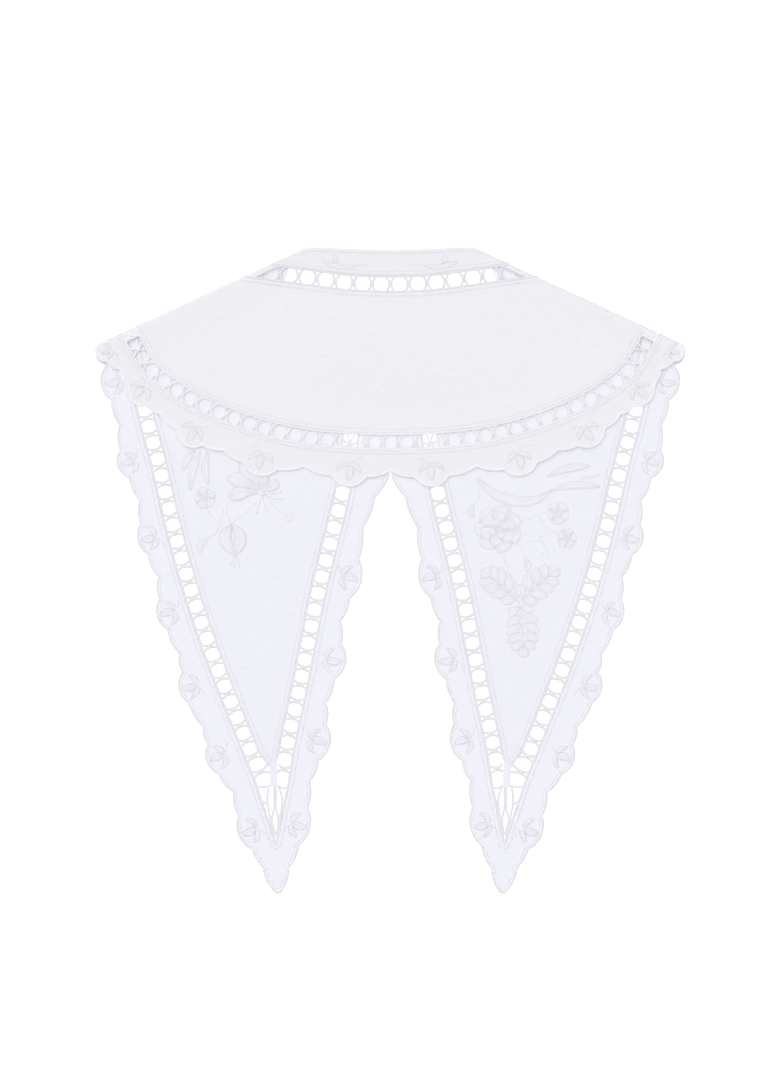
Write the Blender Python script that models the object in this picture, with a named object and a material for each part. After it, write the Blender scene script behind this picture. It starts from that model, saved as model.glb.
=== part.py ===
"""A white cutwork collar, laid flat and folded at both shoulders.

The wide back lies right side up on the two long pointed fronts, and the cloth runs round a soft
bend along each shoulder. Every part of the collar is a cloth panel or border, or a band of
openwork with a row of round gaps that joins two of them.

Sizes are in millimetres until a mesh is made. "across" is measured from the centre line and
"down" from the middle of the back's neck edge, towards the points of the fronts. A point of the
cloth is where it lies when the collar is flat, and place() takes it round the shoulder's bend.
"""

import math

import bpy
from mathutils import Vector
from mathutils.geometry import delaunay_2d_cdt

MM = 0.001
NECK_Y = 224.1  # where "down" starts, so that the collar's box is centred on the origin

# The cloth and its folds
CLOTH = 1.0  # thickness of a wall
SEAM = 0.3  # gap between two pieces that are sewn together
BEND = 1.4  # radius of the middle of the cloth at the shoulder fold
FOLD_ANGLE = math.radians(24.83)  # slope of a shoulder
NECK_CORNER = Vector((64.75, 1.05))  # where a shoulder starts at the neck
SHOULDER = 152.3  # length of a shoulder
ALONG = Vector((math.cos(FOLD_ANGLE), math.sin(FOLD_ANGLE)))
INWARD = Vector((-math.sin(FOLD_ANGLE), math.cos(FOLD_ANGLE)))
BEND_STARTS = BEND + CLOTH / 2  # from the fold's outline inwards
CREST = BEND_STARTS - BEND * math.pi / 2  # the middle of the bend, on the flat cloth
BEND_ROWS = 3  # facets of a quarter bend

# The back's height over the fronts
SETTLE = 1.3  # how far it sinks on to the fronts behind the fold
SETTLED_AT = 24.0  # distance from the fold where it has sunk
CROWN = 1.85  # how far its middle stays up over the gap between the fronts
CROWN_WIDTH = 75.0
CROWN_FOOT = 72.0  # below this, "down", it sinks again
CROWN_FADE = 45.0
EDGE_LIFT = 0.55  # how far its scalloped edge stands off
EDGE_MIDDLE = 30.0  # the edge is nearly an oval round this point, "down" on the centre line
EDGE_ACROSS = 214.0
EDGE_DOWN = 126.0
RIPPLE = 0.2  # slow waves along the edge
RIPPLES = 9

# Openwork bands
BAND = 12.2  # width of a band
GAP_SIZE = 9.2  # a round gap across its flats
GAP_SIDES = 8
GAP_FROM_FOLD = 8.0  # a gap's middle is never nearer than this to a fold
FRONT_GAPS_START = 42.0  # the same for a front's outer band, which is plain under the back's band
BACK_PITCH = 11.15
NECK_PITCH = 12.9
FRONT_PITCH = 11.85
TOP_PITCH = 15.5  # the inner band's gaps are set wider near its top
TOP_PITCH_ENDS = 75.0
FIRST_INNER_GAP = 4.0  # from the inner band's top
LAST_INNER_GAP = 3.2  # from the inner band's foot
LAST_GAP_HEIGHT = 12.0

# How fine the outlines are
BAND_STEP = 8.0
EDGE_STEP = 5.0
CURVE_STEP = 1.0
GRID = 16.0
GRID_MARGIN = 5.0

# The back: each row is (across, down), from the centre line out to past the fold
BACK_NECK_EDGE = ((0, 0), (26, -0.6), (47.6, -1.7), (58, -1.3))
BACK_NECK_BAND = ((0, 23.8), (28, 22.7), (51, 19.9), (73, 17.0), (93.5, 14.2), (103, 12.8))
BACK_OUTER_BAND = (
    (0, 134.0),
    (38.5, 132.5),
    (67.2, 128.8),
    (95.6, 121.7),
    (124.3, 111.0),
    (146.4, 99.3),
    (167.2, 82.8),
    (182.8, 57.1),
    (187.5, 48.5),
)
# Cusps of the scalloped edge: (across, down, bulge of the scallop that follows)
BACK_SCALLOPS = (
    (0, 154.4, 1.5),
    (16.8, 158.8, 7.2),
    (41.4, 157.7, 1.6),
    (60.4, 151.4, 1.5),
    (79.1, 153.7, 7.0),
    (103.3, 148.2, 1.5),
    (117.3, 140.0, 1.3),
    (131.3, 136.9, 6.5),
    (150.3, 125.1, 1.3),
    (161.4, 114.8, 1.0),
    (170.1, 109.6, 5.4),
    (185.2, 94.2, 1.0),
    (189.5, 83.7, 0.9),
    (198.2, 78.1, 5.4),
)

# A front: its bands from the fold or the neck down, and its edge round the point
NECKLINE_MIDDLE = Vector((23.1, 31.15))
NECKLINE_RADIUS = 51.2
NECK_BAND_RADIUS = 72.4
CENTRE_GAP = 0.18  # a front's plain edge from the centre line, under the back
INNER_BAND_TOP = 25.6  # across
FRONT_OUTER_BAND = (
    (184.6, 46.0),
    (182.6, 57.0),
    (171.4, 113.0),
    (161.8, 150.2),
    (150.9, 197.1),
    (138.0, 242.6),
    (123.1, 286.2),
    (106.8, 328.0),
    (89.3, 370.7),
)
FRONT_INNER_BAND = (
    (25.6, 109.65),
    (28.0, 134.0),
    (33.4, 169.1),
    (44.4, 214.3),
    (50.6, 239.5),
    (57.5, 274.8),
    (64.1, 308.7),
    (71.5, 343.4),
    (76.4, 372.0),
)
PANEL_POINT = (82.0, 362.3)
PANEL_POINT_STARTS = 352.0  # down: below this its sides run straight to the point
BAND_POINT = (79.6, 419.0)
BAND_POINT_STARTS = 372.0
FRONT_SCALLOPS = (
    (198.8, 80.2, 5.7),
    (195.3, 104.9, 1.4),
    (189.7, 122.2, 1.4),
    (189.4, 140.0, 5.0),
    (182.7, 159.3, 1.4),
    (175.6, 175.0, 1.4),
    (174.9, 191.3, 4.8),
    (169.7, 212.8, 1.4),
    (162.4, 228.6, 1.4),
    (161.7, 244.0, 4.6),
    (156.1, 265.7, 1.4),
    (147.7, 282.5, 1.4),
    (145.6, 295.1, 4.8),
    (141.4, 316.8, 1.4),
    (130.9, 333.6, 1.4),
    (127.8, 345.5, 4.8),
    (120.4, 366.5, 1.4),
    (109.9, 379.1, 1.4),
    (106.4, 395.9, 4.9),
    (96.7, 419.3, 0.9),
    (89.1, 432.2, 1.9),
    (79.9, 449.9, 0.3),
    (76.8, 449.6, 0.4),
    (72.0, 440.6, 0.5),
    (71.0, 432.3, 1.4),
    (63.9, 416.8, 4.8),
    (57.4, 389.4, 1.4),
    (56.0, 371.4, 1.4),
    (50.4, 357.4, 5.6),
    (44.5, 331.5, 1.4),
    (44.8, 316.8, 1.4),
    (38.9, 300.0, 5.7),
    (34.3, 274.8, 1.4),
    (34.7, 259.4, 1.4),
    (28.3, 243.8, 5.2),
    (21.8, 216.0, 1.5),
    (19.1, 193.9, 1.5),
    (10.9, 173.5, 0.9),
)
LAST_CUSP = (0.6, 157.6)  # where the scallops end, under the back
PLAIN_EDGE_STARTS = 150.0  # down
FOLD_SCALLOP = 5.2  # bulge of a front's scallop that starts at the fold

# Gaps at the foot of a front's openwork: (across, down, width, height)
POINT_GAPS = (
    (87.9, 380.6, 4.6, 6.4),
    (73.9, 380.6, 4.6, 6.4),
    (84.0, 388.0, 4.3, 13.0),
    (77.5, 388.0, 4.3, 13.0),
    (80.4, 404.5, 4.9, 13.5),
)

WHITE = (0.86, 0.86, 0.89, 1.0)
THREAD_WHITE = (0.90, 0.90, 0.92, 1.0)


# Curves on the flat cloth


def from_fold(point):
    """Distance of a point inside the outline of the shoulder fold on its side."""
    return (Vector((abs(point[0]), point[1])) - NECK_CORNER).dot(INWARD)


def fold_point(length):
    """The point of the bend's middle line at this length from the neck."""
    return NECK_CORNER + ALONG * length + INWARD * CREST


def curve(table):
    """A smooth line through a table's points, with a point about every CURVE_STEP."""
    points = [Vector(row[:2]) for row in table]
    points = [2 * points[0] - points[1], *points, 2 * points[-1] - points[-2]]
    line = []
    for before, start, end, after in zip(points, points[1:], points[2:], points[3:]):
        steps = max(1, round((end - start).length / CURVE_STEP))
        first = (end - before) / 2
        last = (after - start) / 2
        for i in range(steps):
            t = i / steps
            line.append(
                start * (2 * t**3 - 3 * t**2 + 1)
                + end * (3 * t**2 - 2 * t**3)
                + first * (t**3 - 2 * t**2 + t)
                + last * (t**3 - t**2)
            )
    return [*line, points[-2]]


def both_sides(table):
    """A table of half the back, with its mirror image before it."""
    return [(-row[0], row[1]) for row in reversed(table[1:])] + list(table)


def mirrored(line):
    return [Vector((-point.x, point.y)) for point in line]


def beside(line, distance):
    """The line moved to its left by this distance, as seen with "down" drawn upwards."""
    moved = []
    for i, point in enumerate(line):
        course = line[min(i + 1, len(line) - 1)] - line[max(i - 1, 0)]
        moved.append(point + Vector((-course.y, course.x)).normalized() * distance)
    return moved


def inside_folds(line):
    """The stretch of a line that lies between the folds, ending exactly on their middle lines."""
    kept = []
    for i, point in enumerate(line):
        here = from_fold(point) - CREST
        if i:
            last = from_fold(line[i - 1]) - CREST
            if last * here < 0:
                kept.append(line[i - 1].lerp(point, last / (last - here)))
        if here >= 0:
            kept.append(point)
    return kept


def lengths(line):
    """The distance along the line at each of its points."""
    total = [0.0]
    for a, b in zip(line, line[1:]):
        total.append(total[-1] + (b - a).length)
    return total


def at_length(line, total, length):
    """The point of a line at this length, and the line's direction there."""
    i = 0
    while i < len(total) - 2 and total[i + 1] < length:
        i += 1
    step = line[i + 1] - line[i]
    return line[i] + step * ((length - total[i]) / (total[i + 1] - total[i])), step.normalized()


def evenly(line, step):
    """The line with evenly spaced points, its ends kept."""
    total = lengths(line)
    count = max(1, round(total[-1] / step))
    return [at_length(line, total, total[-1] * i / count)[0] for i in range(count + 1)]


def above(line, down):
    """The points of a line that lie nearer to the neck than this."""
    return [point for point in line if point.y < down]


def scallop(start, end, bulge, side):
    """An arc from one cusp to the next, standing out to the right (1) or left (-1) of its chord."""
    chord = end - start
    out = Vector((chord.y, -chord.x)).normalized() * side
    half = chord.length / 2
    radius = (half * half + bulge * bulge) / (2 * bulge)
    sweep = math.atan2(half, radius - bulge)
    middle = (start + end) / 2 + out * (bulge - radius)
    steps = max(2, round(2 * sweep * radius / EDGE_STEP))
    return [
        middle + out * radius * math.cos(a) + chord.normalized() * radius * math.sin(a)
        for a in (sweep * (2 * i / steps - 1) for i in range(steps))
    ]


def scalloped(cusps, last, side):
    """The scalloped line through a table of cusps, up to the point last."""
    points = [Vector(row[:2]) for row in cusps] + [Vector(last)]
    line = []
    for start, end, (_, _, bulge) in zip(points, points[1:], cusps):
        line += scallop(start, end, bulge, side)
    return [*line, points[-1]]


def arc(middle, radius, first, last, step):
    """Points of an arc between two angles, measured from "across" towards "down"."""
    count = max(2, round(abs(last - first) * radius / step))
    angles = (first + (last - first) * i / count for i in range(count + 1))
    return [middle + radius * Vector((math.cos(a), math.sin(a))) for a in angles]


# Gaps in the openwork


def ring(centre, course, width, height, sides):
    """A rounded gap with flats along its band."""
    across_band = Vector((-course.y, course.x))
    reach = 1 / math.cos(math.pi / sides) / 2
    points = []
    for i in range(sides):
        angle = (i + 0.5) * 2 * math.pi / sides
        points.append(
            centre
            + course * height * reach * math.cos(angle)
            + across_band * width * reach * math.sin(angle)
        )
    return points


def gaps_along(line, places, starts=GAP_FROM_FOLD):
    """A round gap at each of these lengths along a band, at least this far from a fold."""
    total = lengths(line)
    found = []
    for place_along in places:
        centre, course = at_length(line, total, place_along)
        if from_fold(centre) > starts:
            found.append(ring(centre, course, GAP_SIZE, GAP_SIZE, GAP_SIDES))
    return found


def centred_places(line, pitch, on_centre):
    """Lengths along a line across the back at this pitch, with a gap on its middle or beside it."""
    middle = lengths(line)[-1] / 2
    first = 0.0 if on_centre else pitch / 2
    count = int((middle - first) / pitch)
    right = [middle + first + pitch * i for i in range(count + 1)]
    left = [2 * middle - place_along for place_along in right if place_along > middle]
    return sorted(left + right)


def inner_band_places(line):
    """Lengths along a front's inner band, whose pitch closes up from the top, but for the last."""
    end = lengths(line)[-1]
    places, at = [], FIRST_INNER_GAP
    while at < end - FRONT_PITCH:
        places.append(at)
        at += FRONT_PITCH + (TOP_PITCH - FRONT_PITCH) * max(0.0, 1 - at / TOP_PITCH_ENDS)
    return places


# The laid shape


def smooth_step(value):
    value = min(1.0, max(0.0, value))
    return value * value * (3 - 2 * value)


def back_lift(across, down):
    """Height of the back over the level at which it leaves the shoulder fold."""
    distance = from_fold((across, down)) - BEND_STARTS
    settled = smooth_step(distance / SETTLED_AT)
    oval = math.hypot(across / EDGE_ACROSS, max(0.0, down - EDGE_MIDDLE) / EDGE_DOWN)
    near_edge = smooth_step((oval - 0.6) / 0.4)
    turn = math.atan2(across, down - EDGE_MIDDLE)
    ripple = RIPPLE * math.sin(RIPPLES * turn + 0.6) * near_edge
    crown = CROWN * math.exp(-((across / CROWN_WIDTH) ** 2))
    crown *= 1 - smooth_step((down - CROWN_FOOT) / CROWN_FADE)
    return settled * (crown - SETTLE + EDGE_LIFT * near_edge + ripple)


def place(point, upper, out):
    """Where a point of the cloth lies. out is its distance from the cloth's middle, outwards."""
    side = -1.0 if point.x < 0 else 1.0
    flat = Vector((abs(point.x), point.y))
    past = max(0.0, BEND_STARTS - from_fold(flat))
    angle = past / BEND
    reach = BEND + out
    plan = flat + INWARD * past - INWARD * reach * math.sin(angle)
    layer = 1.0 if upper else -1.0
    height = BEND_STARTS + layer * reach * math.cos(angle)
    if upper:
        height += back_lift(flat.x, flat.y)
    return Vector((side * plan.x, NECK_Y - plan.y, height)) * MM


# Meshes


def inset(outline, distance):
    """The closed outline drawn in by this distance all round."""
    turning = sum(a.cross(b) for a, b in zip(outline, outline[1:] + outline[:1]))
    inwards = 1.0 if turning > 0 else -1.0
    count = len(outline)
    drawn = []
    for i, point in enumerate(outline):
        before = (point - outline[i - 1]).normalized()
        after = (outline[(i + 1) % count] - point).normalized()
        normals = [Vector((-side.y, side.x)) * inwards for side in (before, after)]
        bisector = (normals[0] + normals[1]).normalized()
        drawn.append(point + bisector * distance / max(0.5, bisector.dot(normals[0])))
    return drawn


def within(point, outline):
    """Whether a point lies inside a closed outline."""
    crossings = False
    for a, b in zip(outline, outline[1:] + outline[:1]):
        if (a.y > point.y) != (b.y > point.y):
            if point.x < a.x + (b.x - a.x) * (point.y - a.y) / (b.y - a.y):
                crossings = not crossings
    return crossings


def grid_points(outline):
    """Points inside the outline, on a plain grid, clear of its edge."""
    drawn = inset(outline, GRID_MARGIN)
    columns = range(int(min(p.x for p in drawn) // GRID), int(max(p.x for p in drawn) // GRID) + 1)
    rows = range(int(min(p.y for p in drawn) // GRID), int(max(p.y for p in drawn) // GRID) + 1)
    points = [Vector((column * GRID, row * GRID)) for column in columns for row in rows]
    return [point for point in points if within(point, drawn)]


def bend_lines():
    """Lines along both shoulders where the facets of the bend meet."""
    lines = []
    for row in range(BEND_ROWS):
        inward = INWARD * (BEND_STARTS - (BEND_STARTS - CREST) * row / BEND_ROWS)
        ends = [NECK_CORNER + inward + ALONG * length for length in (-20.0, SHOULDER + 20.0)]
        lines += [ends, mirrored(ends)]
    return lines


def material(name, colour, roughness):
    found = bpy.data.materials.get(name)
    if found is None:
        found = bpy.data.materials.new(name)
        found.use_nodes = True
        shader = found.node_tree.nodes["Principled BSDF"]
        shader.inputs["Base Color"].default_value = colour
        shader.inputs["Roughness"].default_value = roughness
        shader.inputs["Metallic"].default_value = 0.0
    return found


def sheet(name, outline, gaps, upper, finish, inner_points=()):
    """A piece of cloth: the outline without its gaps, filled on both faces, with walls between."""
    loops = [inset(outline, SEAM / 2), *gaps]
    points, edges = [], []
    for loop in loops:
        start = len(points)
        points += loop
        edges += [(start + i, start + (i + 1) % len(loop)) for i in range(len(loop))]
    for line in bend_lines():
        edges.append((len(points), len(points) + 1))
        points += line
    points += inner_points
    flat, _, triangles, *_ = delaunay_2d_cdt(points, edges, [], 0, 1e-4)
    kept = []
    for triangle in triangles:
        centre = sum((flat[i] for i in triangle), Vector((0, 0))) / 3
        if within(centre, loops[0]) and not any(within(centre, gap) for gap in gaps):
            kept.append(tuple(triangle))

    used = sorted({i for triangle in kept for i in triangle})
    number = {old: new for new, old in enumerate(used)}
    kept = [tuple(number[i] for i in triangle) for triangle in kept]
    count = len(used)
    vertices = [place(flat[i], upper, CLOTH / 2) for i in used]
    vertices += [place(flat[i], upper, -CLOTH / 2) for i in used]
    sides = {side for a, b, c in kept for side in ((a, b), (b, c), (c, a))}
    borders = [(a, b) for a, b in sides if (b, a) not in sides]
    faces = [triangle if not upper else triangle[::-1] for triangle in kept]
    faces += [tuple(i + count for i in reversed(face)) for face in faces]
    for a, b in sorted(borders):
        wall = (a, a + count, b + count, b)
        faces.append(wall if not upper else wall[::-1])

    mesh = bpy.data.meshes.new(name)
    mesh.from_pydata(vertices, [], faces)
    mesh.materials.append(finish)
    mesh.update()
    piece = bpy.data.objects.new(name, mesh)
    bpy.context.scene.collection.objects.link(piece)
    return piece


# The pieces


def build_back():
    """The five pieces that run right across the back, from the neck to the scalloped edge."""
    cloth = material("white cloth", WHITE, 0.85)
    thread = material("white thread", THREAD_WHITE, 0.7)
    neck_band = curve(both_sides(BACK_NECK_BAND))
    outer_band = curve(both_sides(BACK_OUTER_BAND))
    neck_edge = curve(both_sides(BACK_NECK_EDGE))
    neck_edge = [mirrored([fold_point(0)])[0], *evenly(neck_edge, BAND_STEP), fold_point(0)]

    neck_top = evenly(inside_folds(beside(neck_band, -BAND / 2)), BAND_STEP)
    neck_foot = evenly(inside_folds(beside(neck_band, BAND / 2)), BAND_STEP)
    outer_top = evenly(inside_folds(beside(outer_band, -BAND / 2)), BAND_STEP)
    outer_foot = evenly(inside_folds(beside(outer_band, BAND / 2)), BAND_STEP)
    half_edge = scalloped(BACK_SCALLOPS, fold_point(SHOULDER), -1)
    edge = [*reversed(mirrored(half_edge[1:])), *half_edge]

    neck_gaps = gaps_along(neck_band, centred_places(neck_band, NECK_PITCH, False))
    outer_gaps = gaps_along(outer_band, centred_places(outer_band, BACK_PITCH, True))
    panel = neck_foot + outer_top[::-1]
    neck_border = neck_edge + neck_top[::-1]
    border = outer_foot + edge[::-1]
    sheet("back_neck_border", neck_border, [], True, cloth)
    sheet("back_neck_openwork", neck_top + neck_foot[::-1], neck_gaps, True, thread)
    sheet("back_panel", panel, [], True, cloth, grid_points(panel))
    sheet("back_openwork", outer_top + outer_foot[::-1], outer_gaps, True, thread)
    sheet("back_border", border, [], True, cloth)


def build_front(side_name, side):
    """The five pieces of one front, drawn for the +X side. side -1 mirrors them."""
    cloth = material("white cloth", WHITE, 0.85)
    thread = material("white thread", THREAD_WHITE, 0.7)

    def piece(name, outline, gaps, finish):
        if side < 0:
            outline = mirrored(outline)[::-1]
            gaps = [mirrored(gap)[::-1] for gap in gaps]
        sheet(f"front_{name}_{side_name}", outline, gaps, False, finish)

    def neckline(radius, last_across, step):
        """Along a circle round the neck from the fold to its foot, then level to last_across."""
        line = arc(NECKLINE_MIDDLE, radius, math.radians(-40), math.radians(90), CURVE_STEP)
        foot = Vector((last_across, line[-1].y))
        return evenly(inside_folds(line), step) + [foot]

    neck_edge = neckline(NECKLINE_RADIUS, CENTRE_GAP, BAND_STEP)
    neck_edge[0] = fold_point(0)
    band_end = INNER_BAND_TOP - BAND / 2
    border_foot = neckline(NECK_BAND_RADIUS - BAND / 2, CENTRE_GAP, BAND_STEP)
    band_top = neckline(NECK_BAND_RADIUS - BAND / 2, band_end, BAND_STEP)
    band_foot = neckline(NECK_BAND_RADIUS + BAND / 2, band_end, BAND_STEP)
    neck_band = neckline(NECK_BAND_RADIUS, band_end, CURVE_STEP)
    neck_places = [NECK_PITCH * (i + 1) for i in range(int(lengths(neck_band)[-1] / NECK_PITCH))]

    outer_band = curve(FRONT_OUTER_BAND)
    inner_band = curve(FRONT_INNER_BAND)
    outer_panel_side = above(beside(outer_band, BAND / 2), PANEL_POINT_STARTS)
    outer_border_side = above(beside(outer_band, -BAND / 2), BAND_POINT_STARTS)
    inner_panel_side = above(beside(inner_band, -BAND / 2), PANEL_POINT_STARTS)
    inner_border_side = above(beside(inner_band, BAND / 2), BAND_POINT_STARTS)
    outer_panel_side = evenly(inside_folds(outer_panel_side), BAND_STEP)
    outer_border_side = evenly(inside_folds(outer_border_side), BAND_STEP)
    inner_panel_side = evenly(inner_panel_side, BAND_STEP)
    inner_border_side = evenly(inner_border_side, BAND_STEP)
    panel_point, band_point = Vector(PANEL_POINT), Vector(BAND_POINT)

    panel_corner = inner_panel_side[0].x
    neck_side = [point for point in band_foot if point.x > panel_corner + 2]
    panel = neck_side + inner_panel_side + [panel_point] + outer_panel_side[::-1]
    band = outer_border_side + [band_point] + inner_border_side[::-1]
    band += inner_panel_side + [panel_point] + outer_panel_side[::-1]
    edge = scallop(fold_point(SHOULDER), Vector(FRONT_SCALLOPS[0][:2]), FOLD_SCALLOP, 1)
    edge += scalloped(FRONT_SCALLOPS, LAST_CUSP, 1)
    edge.append(Vector((CENTRE_GAP, PLAIN_EDGE_STARTS)))
    top = border_foot[-1].y
    border = edge + [Vector((CENTRE_GAP, top)), Vector((band_end, top))]
    border += inner_border_side + [band_point] + outer_border_side[::-1]

    outer_total = lengths(outer_band)[-1]
    outer_places = [outer_total - FRONT_PITCH * i for i in range(int(outer_total / FRONT_PITCH))]
    gaps = gaps_along(outer_band, outer_places, FRONT_GAPS_START)
    gaps += gaps_along(inner_band, inner_band_places(inner_band))
    total = lengths(inner_band)
    centre, course = at_length(inner_band, total, total[-1] - LAST_INNER_GAP)
    gaps.append(ring(centre, course, GAP_SIZE - 0.6, LAST_GAP_HEIGHT, GAP_SIDES))
    straight_down = Vector((0, 1))
    for across, down, width, height in POINT_GAPS:
        gaps.append(ring(Vector((across, down)), straight_down, width, height, GAP_SIDES))

    piece("neck_border", neck_edge + border_foot[::-1], [], cloth)
    piece("neck_openwork", band_top + band_foot[::-1], gaps_along(neck_band, neck_places), thread)
    piece("panel", panel, [], cloth)
    piece("openwork", band, gaps, thread)
    piece("border", border, [], cloth)


def main():
    for thing in list(bpy.data.objects):
        bpy.data.objects.remove(thing)
    build_back()
    build_front("right", 1.0)
    build_front("left", -1.0)


main()
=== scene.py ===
# %% [markdown]
# # A white cutwork collar
# The real collar is fine white lawn: one wide back and two long pointed fronts, with bands of
# openwork between every panel and its scalloped border. It lies flat, with the fronts folded
# under the back along both shoulders. Each part is modelled here as its maker made it: cloth,
# turned hems, wrapped bars, a stitched edge and embroidered flowers.

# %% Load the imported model
import math
from collections import namedtuple

import bpy
import numpy as np
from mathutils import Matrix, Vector
from mathutils.geometry import delaunay_2d_cdt


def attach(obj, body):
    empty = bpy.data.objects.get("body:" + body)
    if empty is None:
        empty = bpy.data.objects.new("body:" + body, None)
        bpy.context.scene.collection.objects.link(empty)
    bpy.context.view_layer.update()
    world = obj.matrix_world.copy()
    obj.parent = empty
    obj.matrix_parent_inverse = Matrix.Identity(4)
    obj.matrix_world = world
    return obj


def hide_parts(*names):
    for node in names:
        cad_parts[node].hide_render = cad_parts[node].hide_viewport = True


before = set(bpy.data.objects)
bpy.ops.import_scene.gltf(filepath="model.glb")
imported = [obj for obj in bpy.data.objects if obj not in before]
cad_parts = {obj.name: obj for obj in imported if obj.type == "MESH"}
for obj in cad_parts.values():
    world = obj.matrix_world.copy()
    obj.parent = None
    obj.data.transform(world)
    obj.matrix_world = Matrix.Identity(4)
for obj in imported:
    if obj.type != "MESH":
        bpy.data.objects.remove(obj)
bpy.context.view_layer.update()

# %% [markdown]
# ## The flat pattern
# A sewer draws a collar flat, on paper, before any cloth is cut. This pattern is in millimetres:
# "across" is measured from the centre line, and "down" from the middle of the back's neck edge.
# The solid model is cut from the same tables, so both keep one shape.

# %% The cloth, its folds and the openwork's sizes
MM = 0.001
NECK_Y = 224.1  # where "down" starts in the frame's Y
BEND = 1.4  # radius of the middle of the cloth at a shoulder fold
FOLD_ANGLE = math.radians(24.83)
NECK_CORNER = np.array((64.75, 1.05))
SHOULDER = 152.3
ALONG = np.array((math.cos(FOLD_ANGLE), math.sin(FOLD_ANGLE)))
INWARD = np.array((-math.sin(FOLD_ANGLE), math.cos(FOLD_ANGLE)))
BEND_STARTS = BEND + 0.5
CREST = BEND_STARTS - BEND * math.pi / 2  # the middle of the bend, on the flat pattern

BAND = 12.2  # width of an openwork band
BACK_PITCH = 11.15
NECK_PITCH = 12.9
FRONT_PITCH = 11.85
TOP_PITCH = 15.5
TOP_PITCH_ENDS = 75.0
FIRST_INNER_GAP = 4.0
LAST_INNER_GAP = 2.4
FRONT_GAPS_START = 42.0  # the fronts' outer band is plain this far in from the fold

# %% The back's pattern, from the centre line out to past the fold
BACK_NECK_EDGE = ((0, 0), (26, -0.6), (47.6, -1.7), (58, -1.3))
BACK_NECK_BAND = ((0, 23.8), (28, 22.7), (51, 19.9), (73, 17.0), (93.5, 14.2), (103, 12.8))
BACK_OUTER_BAND = (
    (0, 134.0), (38.5, 132.5), (67.2, 128.8), (95.6, 121.7), (124.3, 111.0), (146.4, 99.3),
    (167.2, 82.8), (182.8, 57.1), (187.5, 48.5),
)
# Points between the scallops: (across, down, bulge of the scallop that follows)
BACK_SCALLOPS = (
    (0, 154.4, 1.5), (16.8, 158.8, 7.2), (41.4, 157.7, 1.6), (60.4, 151.4, 1.5),
    (79.1, 153.7, 7.0), (103.3, 148.2, 1.5), (117.3, 140.0, 1.3), (131.3, 136.9, 6.5),
    (150.3, 125.1, 1.3), (161.4, 114.8, 1.0), (170.1, 109.6, 5.4), (185.2, 94.2, 1.0),
    (189.5, 83.7, 0.9), (198.2, 78.1, 5.4),
)

# %% A front's pattern, from the neck and the fold down to its point
NECKLINE_MIDDLE = np.array((23.1, 31.15))
NECKLINE_RADIUS = 51.2
NECK_BAND_RADIUS = 72.4
CENTRE_GAP = 0.05  # thin cloth can meet closer here than two solids may
INNER_BAND_TOP = 25.6
FRONT_OUTER_BAND = (
    (184.6, 46.0), (182.6, 57.0), (171.4, 113.0), (161.8, 150.2), (150.9, 197.1), (138.0, 242.6),
    (123.1, 286.2), (106.8, 328.0), (89.3, 370.7),
)
FRONT_INNER_BAND = (
    (25.6, 109.65), (28.0, 134.0), (33.4, 169.1), (44.4, 214.3), (50.6, 239.5), (57.5, 274.8),
    (64.1, 308.7), (71.5, 343.4), (76.4, 372.0),
)
PANEL_POINT = (82.0, 362.3)
PANEL_POINT_STARTS = 352.0
BAND_POINT = (79.6, 419.0)
BAND_POINT_STARTS = 372.0
FOLD_SCALLOP = 5.2
FRONT_SCALLOPS = (
    (198.8, 80.2, 5.7), (195.3, 104.9, 1.4), (189.7, 122.2, 1.4), (189.4, 140.0, 5.0),
    (182.7, 159.3, 1.4), (175.6, 175.0, 1.4), (174.9, 191.3, 4.8), (169.7, 212.8, 1.4),
    (162.4, 228.6, 1.4), (161.7, 244.0, 4.6), (156.1, 265.7, 1.4), (147.7, 282.5, 1.4),
    (145.6, 295.1, 4.8), (141.4, 316.8, 1.4), (130.9, 333.6, 1.4), (127.8, 345.5, 4.8),
    (120.4, 366.5, 1.4), (109.9, 379.1, 1.4), (106.4, 395.9, 4.9), (96.7, 419.3, 0.9),
    (89.1, 432.2, 1.9), (79.9, 449.9, 0.3), (76.8, 449.6, 0.4), (72.0, 440.6, 0.5),
    (71.0, 432.3, 1.4), (63.9, 416.8, 4.8), (57.4, 389.4, 1.4), (56.0, 371.4, 1.4),
    (50.4, 357.4, 5.6), (44.5, 331.5, 1.4), (44.8, 316.8, 1.4), (38.9, 300.0, 5.7),
    (34.3, 274.8, 1.4), (34.7, 259.4, 1.4), (28.3, 243.8, 5.2), (21.8, 216.0, 1.5),
    (19.1, 193.9, 1.5), (10.9, 173.5, 0.9),
)
LAST_CUSP = (0.6, 157.6)
PLAIN_EDGE_STARTS = 150.0
BIG_SCALLOP = 4.0  # a scallop that bulges more than this holds a sprig

# %% [markdown]
# ## Curves on the pattern
# A pattern line could be a Blender curve, but every line here is also offset, cut at the folds,
# measured and swept, which is easier with arrays of points. A few spots are enough for a long
# smooth line: a Catmull-Rom spline runs through each of them. A scallop is an arc.

# %% Smooth lines through a few points
def curve(table, step=1.0):
    """A smooth line through a table's points."""
    knots = np.array([row[:2] for row in table], float)
    knots = np.vstack([2 * knots[0] - knots[1], knots, 2 * knots[-1] - knots[-2]])
    line = []
    for before, start, end, after in zip(knots, knots[1:], knots[2:], knots[3:]):
        count = max(1, round(math.dist(start, end) / step))
        t = np.arange(count)[:, None] / count
        line.append(
            start * (2 * t**3 - 3 * t**2 + 1)
            + end * (3 * t**2 - 2 * t**3)
            + (end - before) / 2 * (t**3 - 2 * t**2 + t)
            + (after - start) / 2 * (t**3 - t**2)
        )
    return np.vstack([*line, knots[-2:-1]])


def both_sides(table):
    """A table of half the back, with its mirror image before it."""
    return [(-row[0], row[1]) for row in reversed(table[1:])] + list(table)


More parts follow.
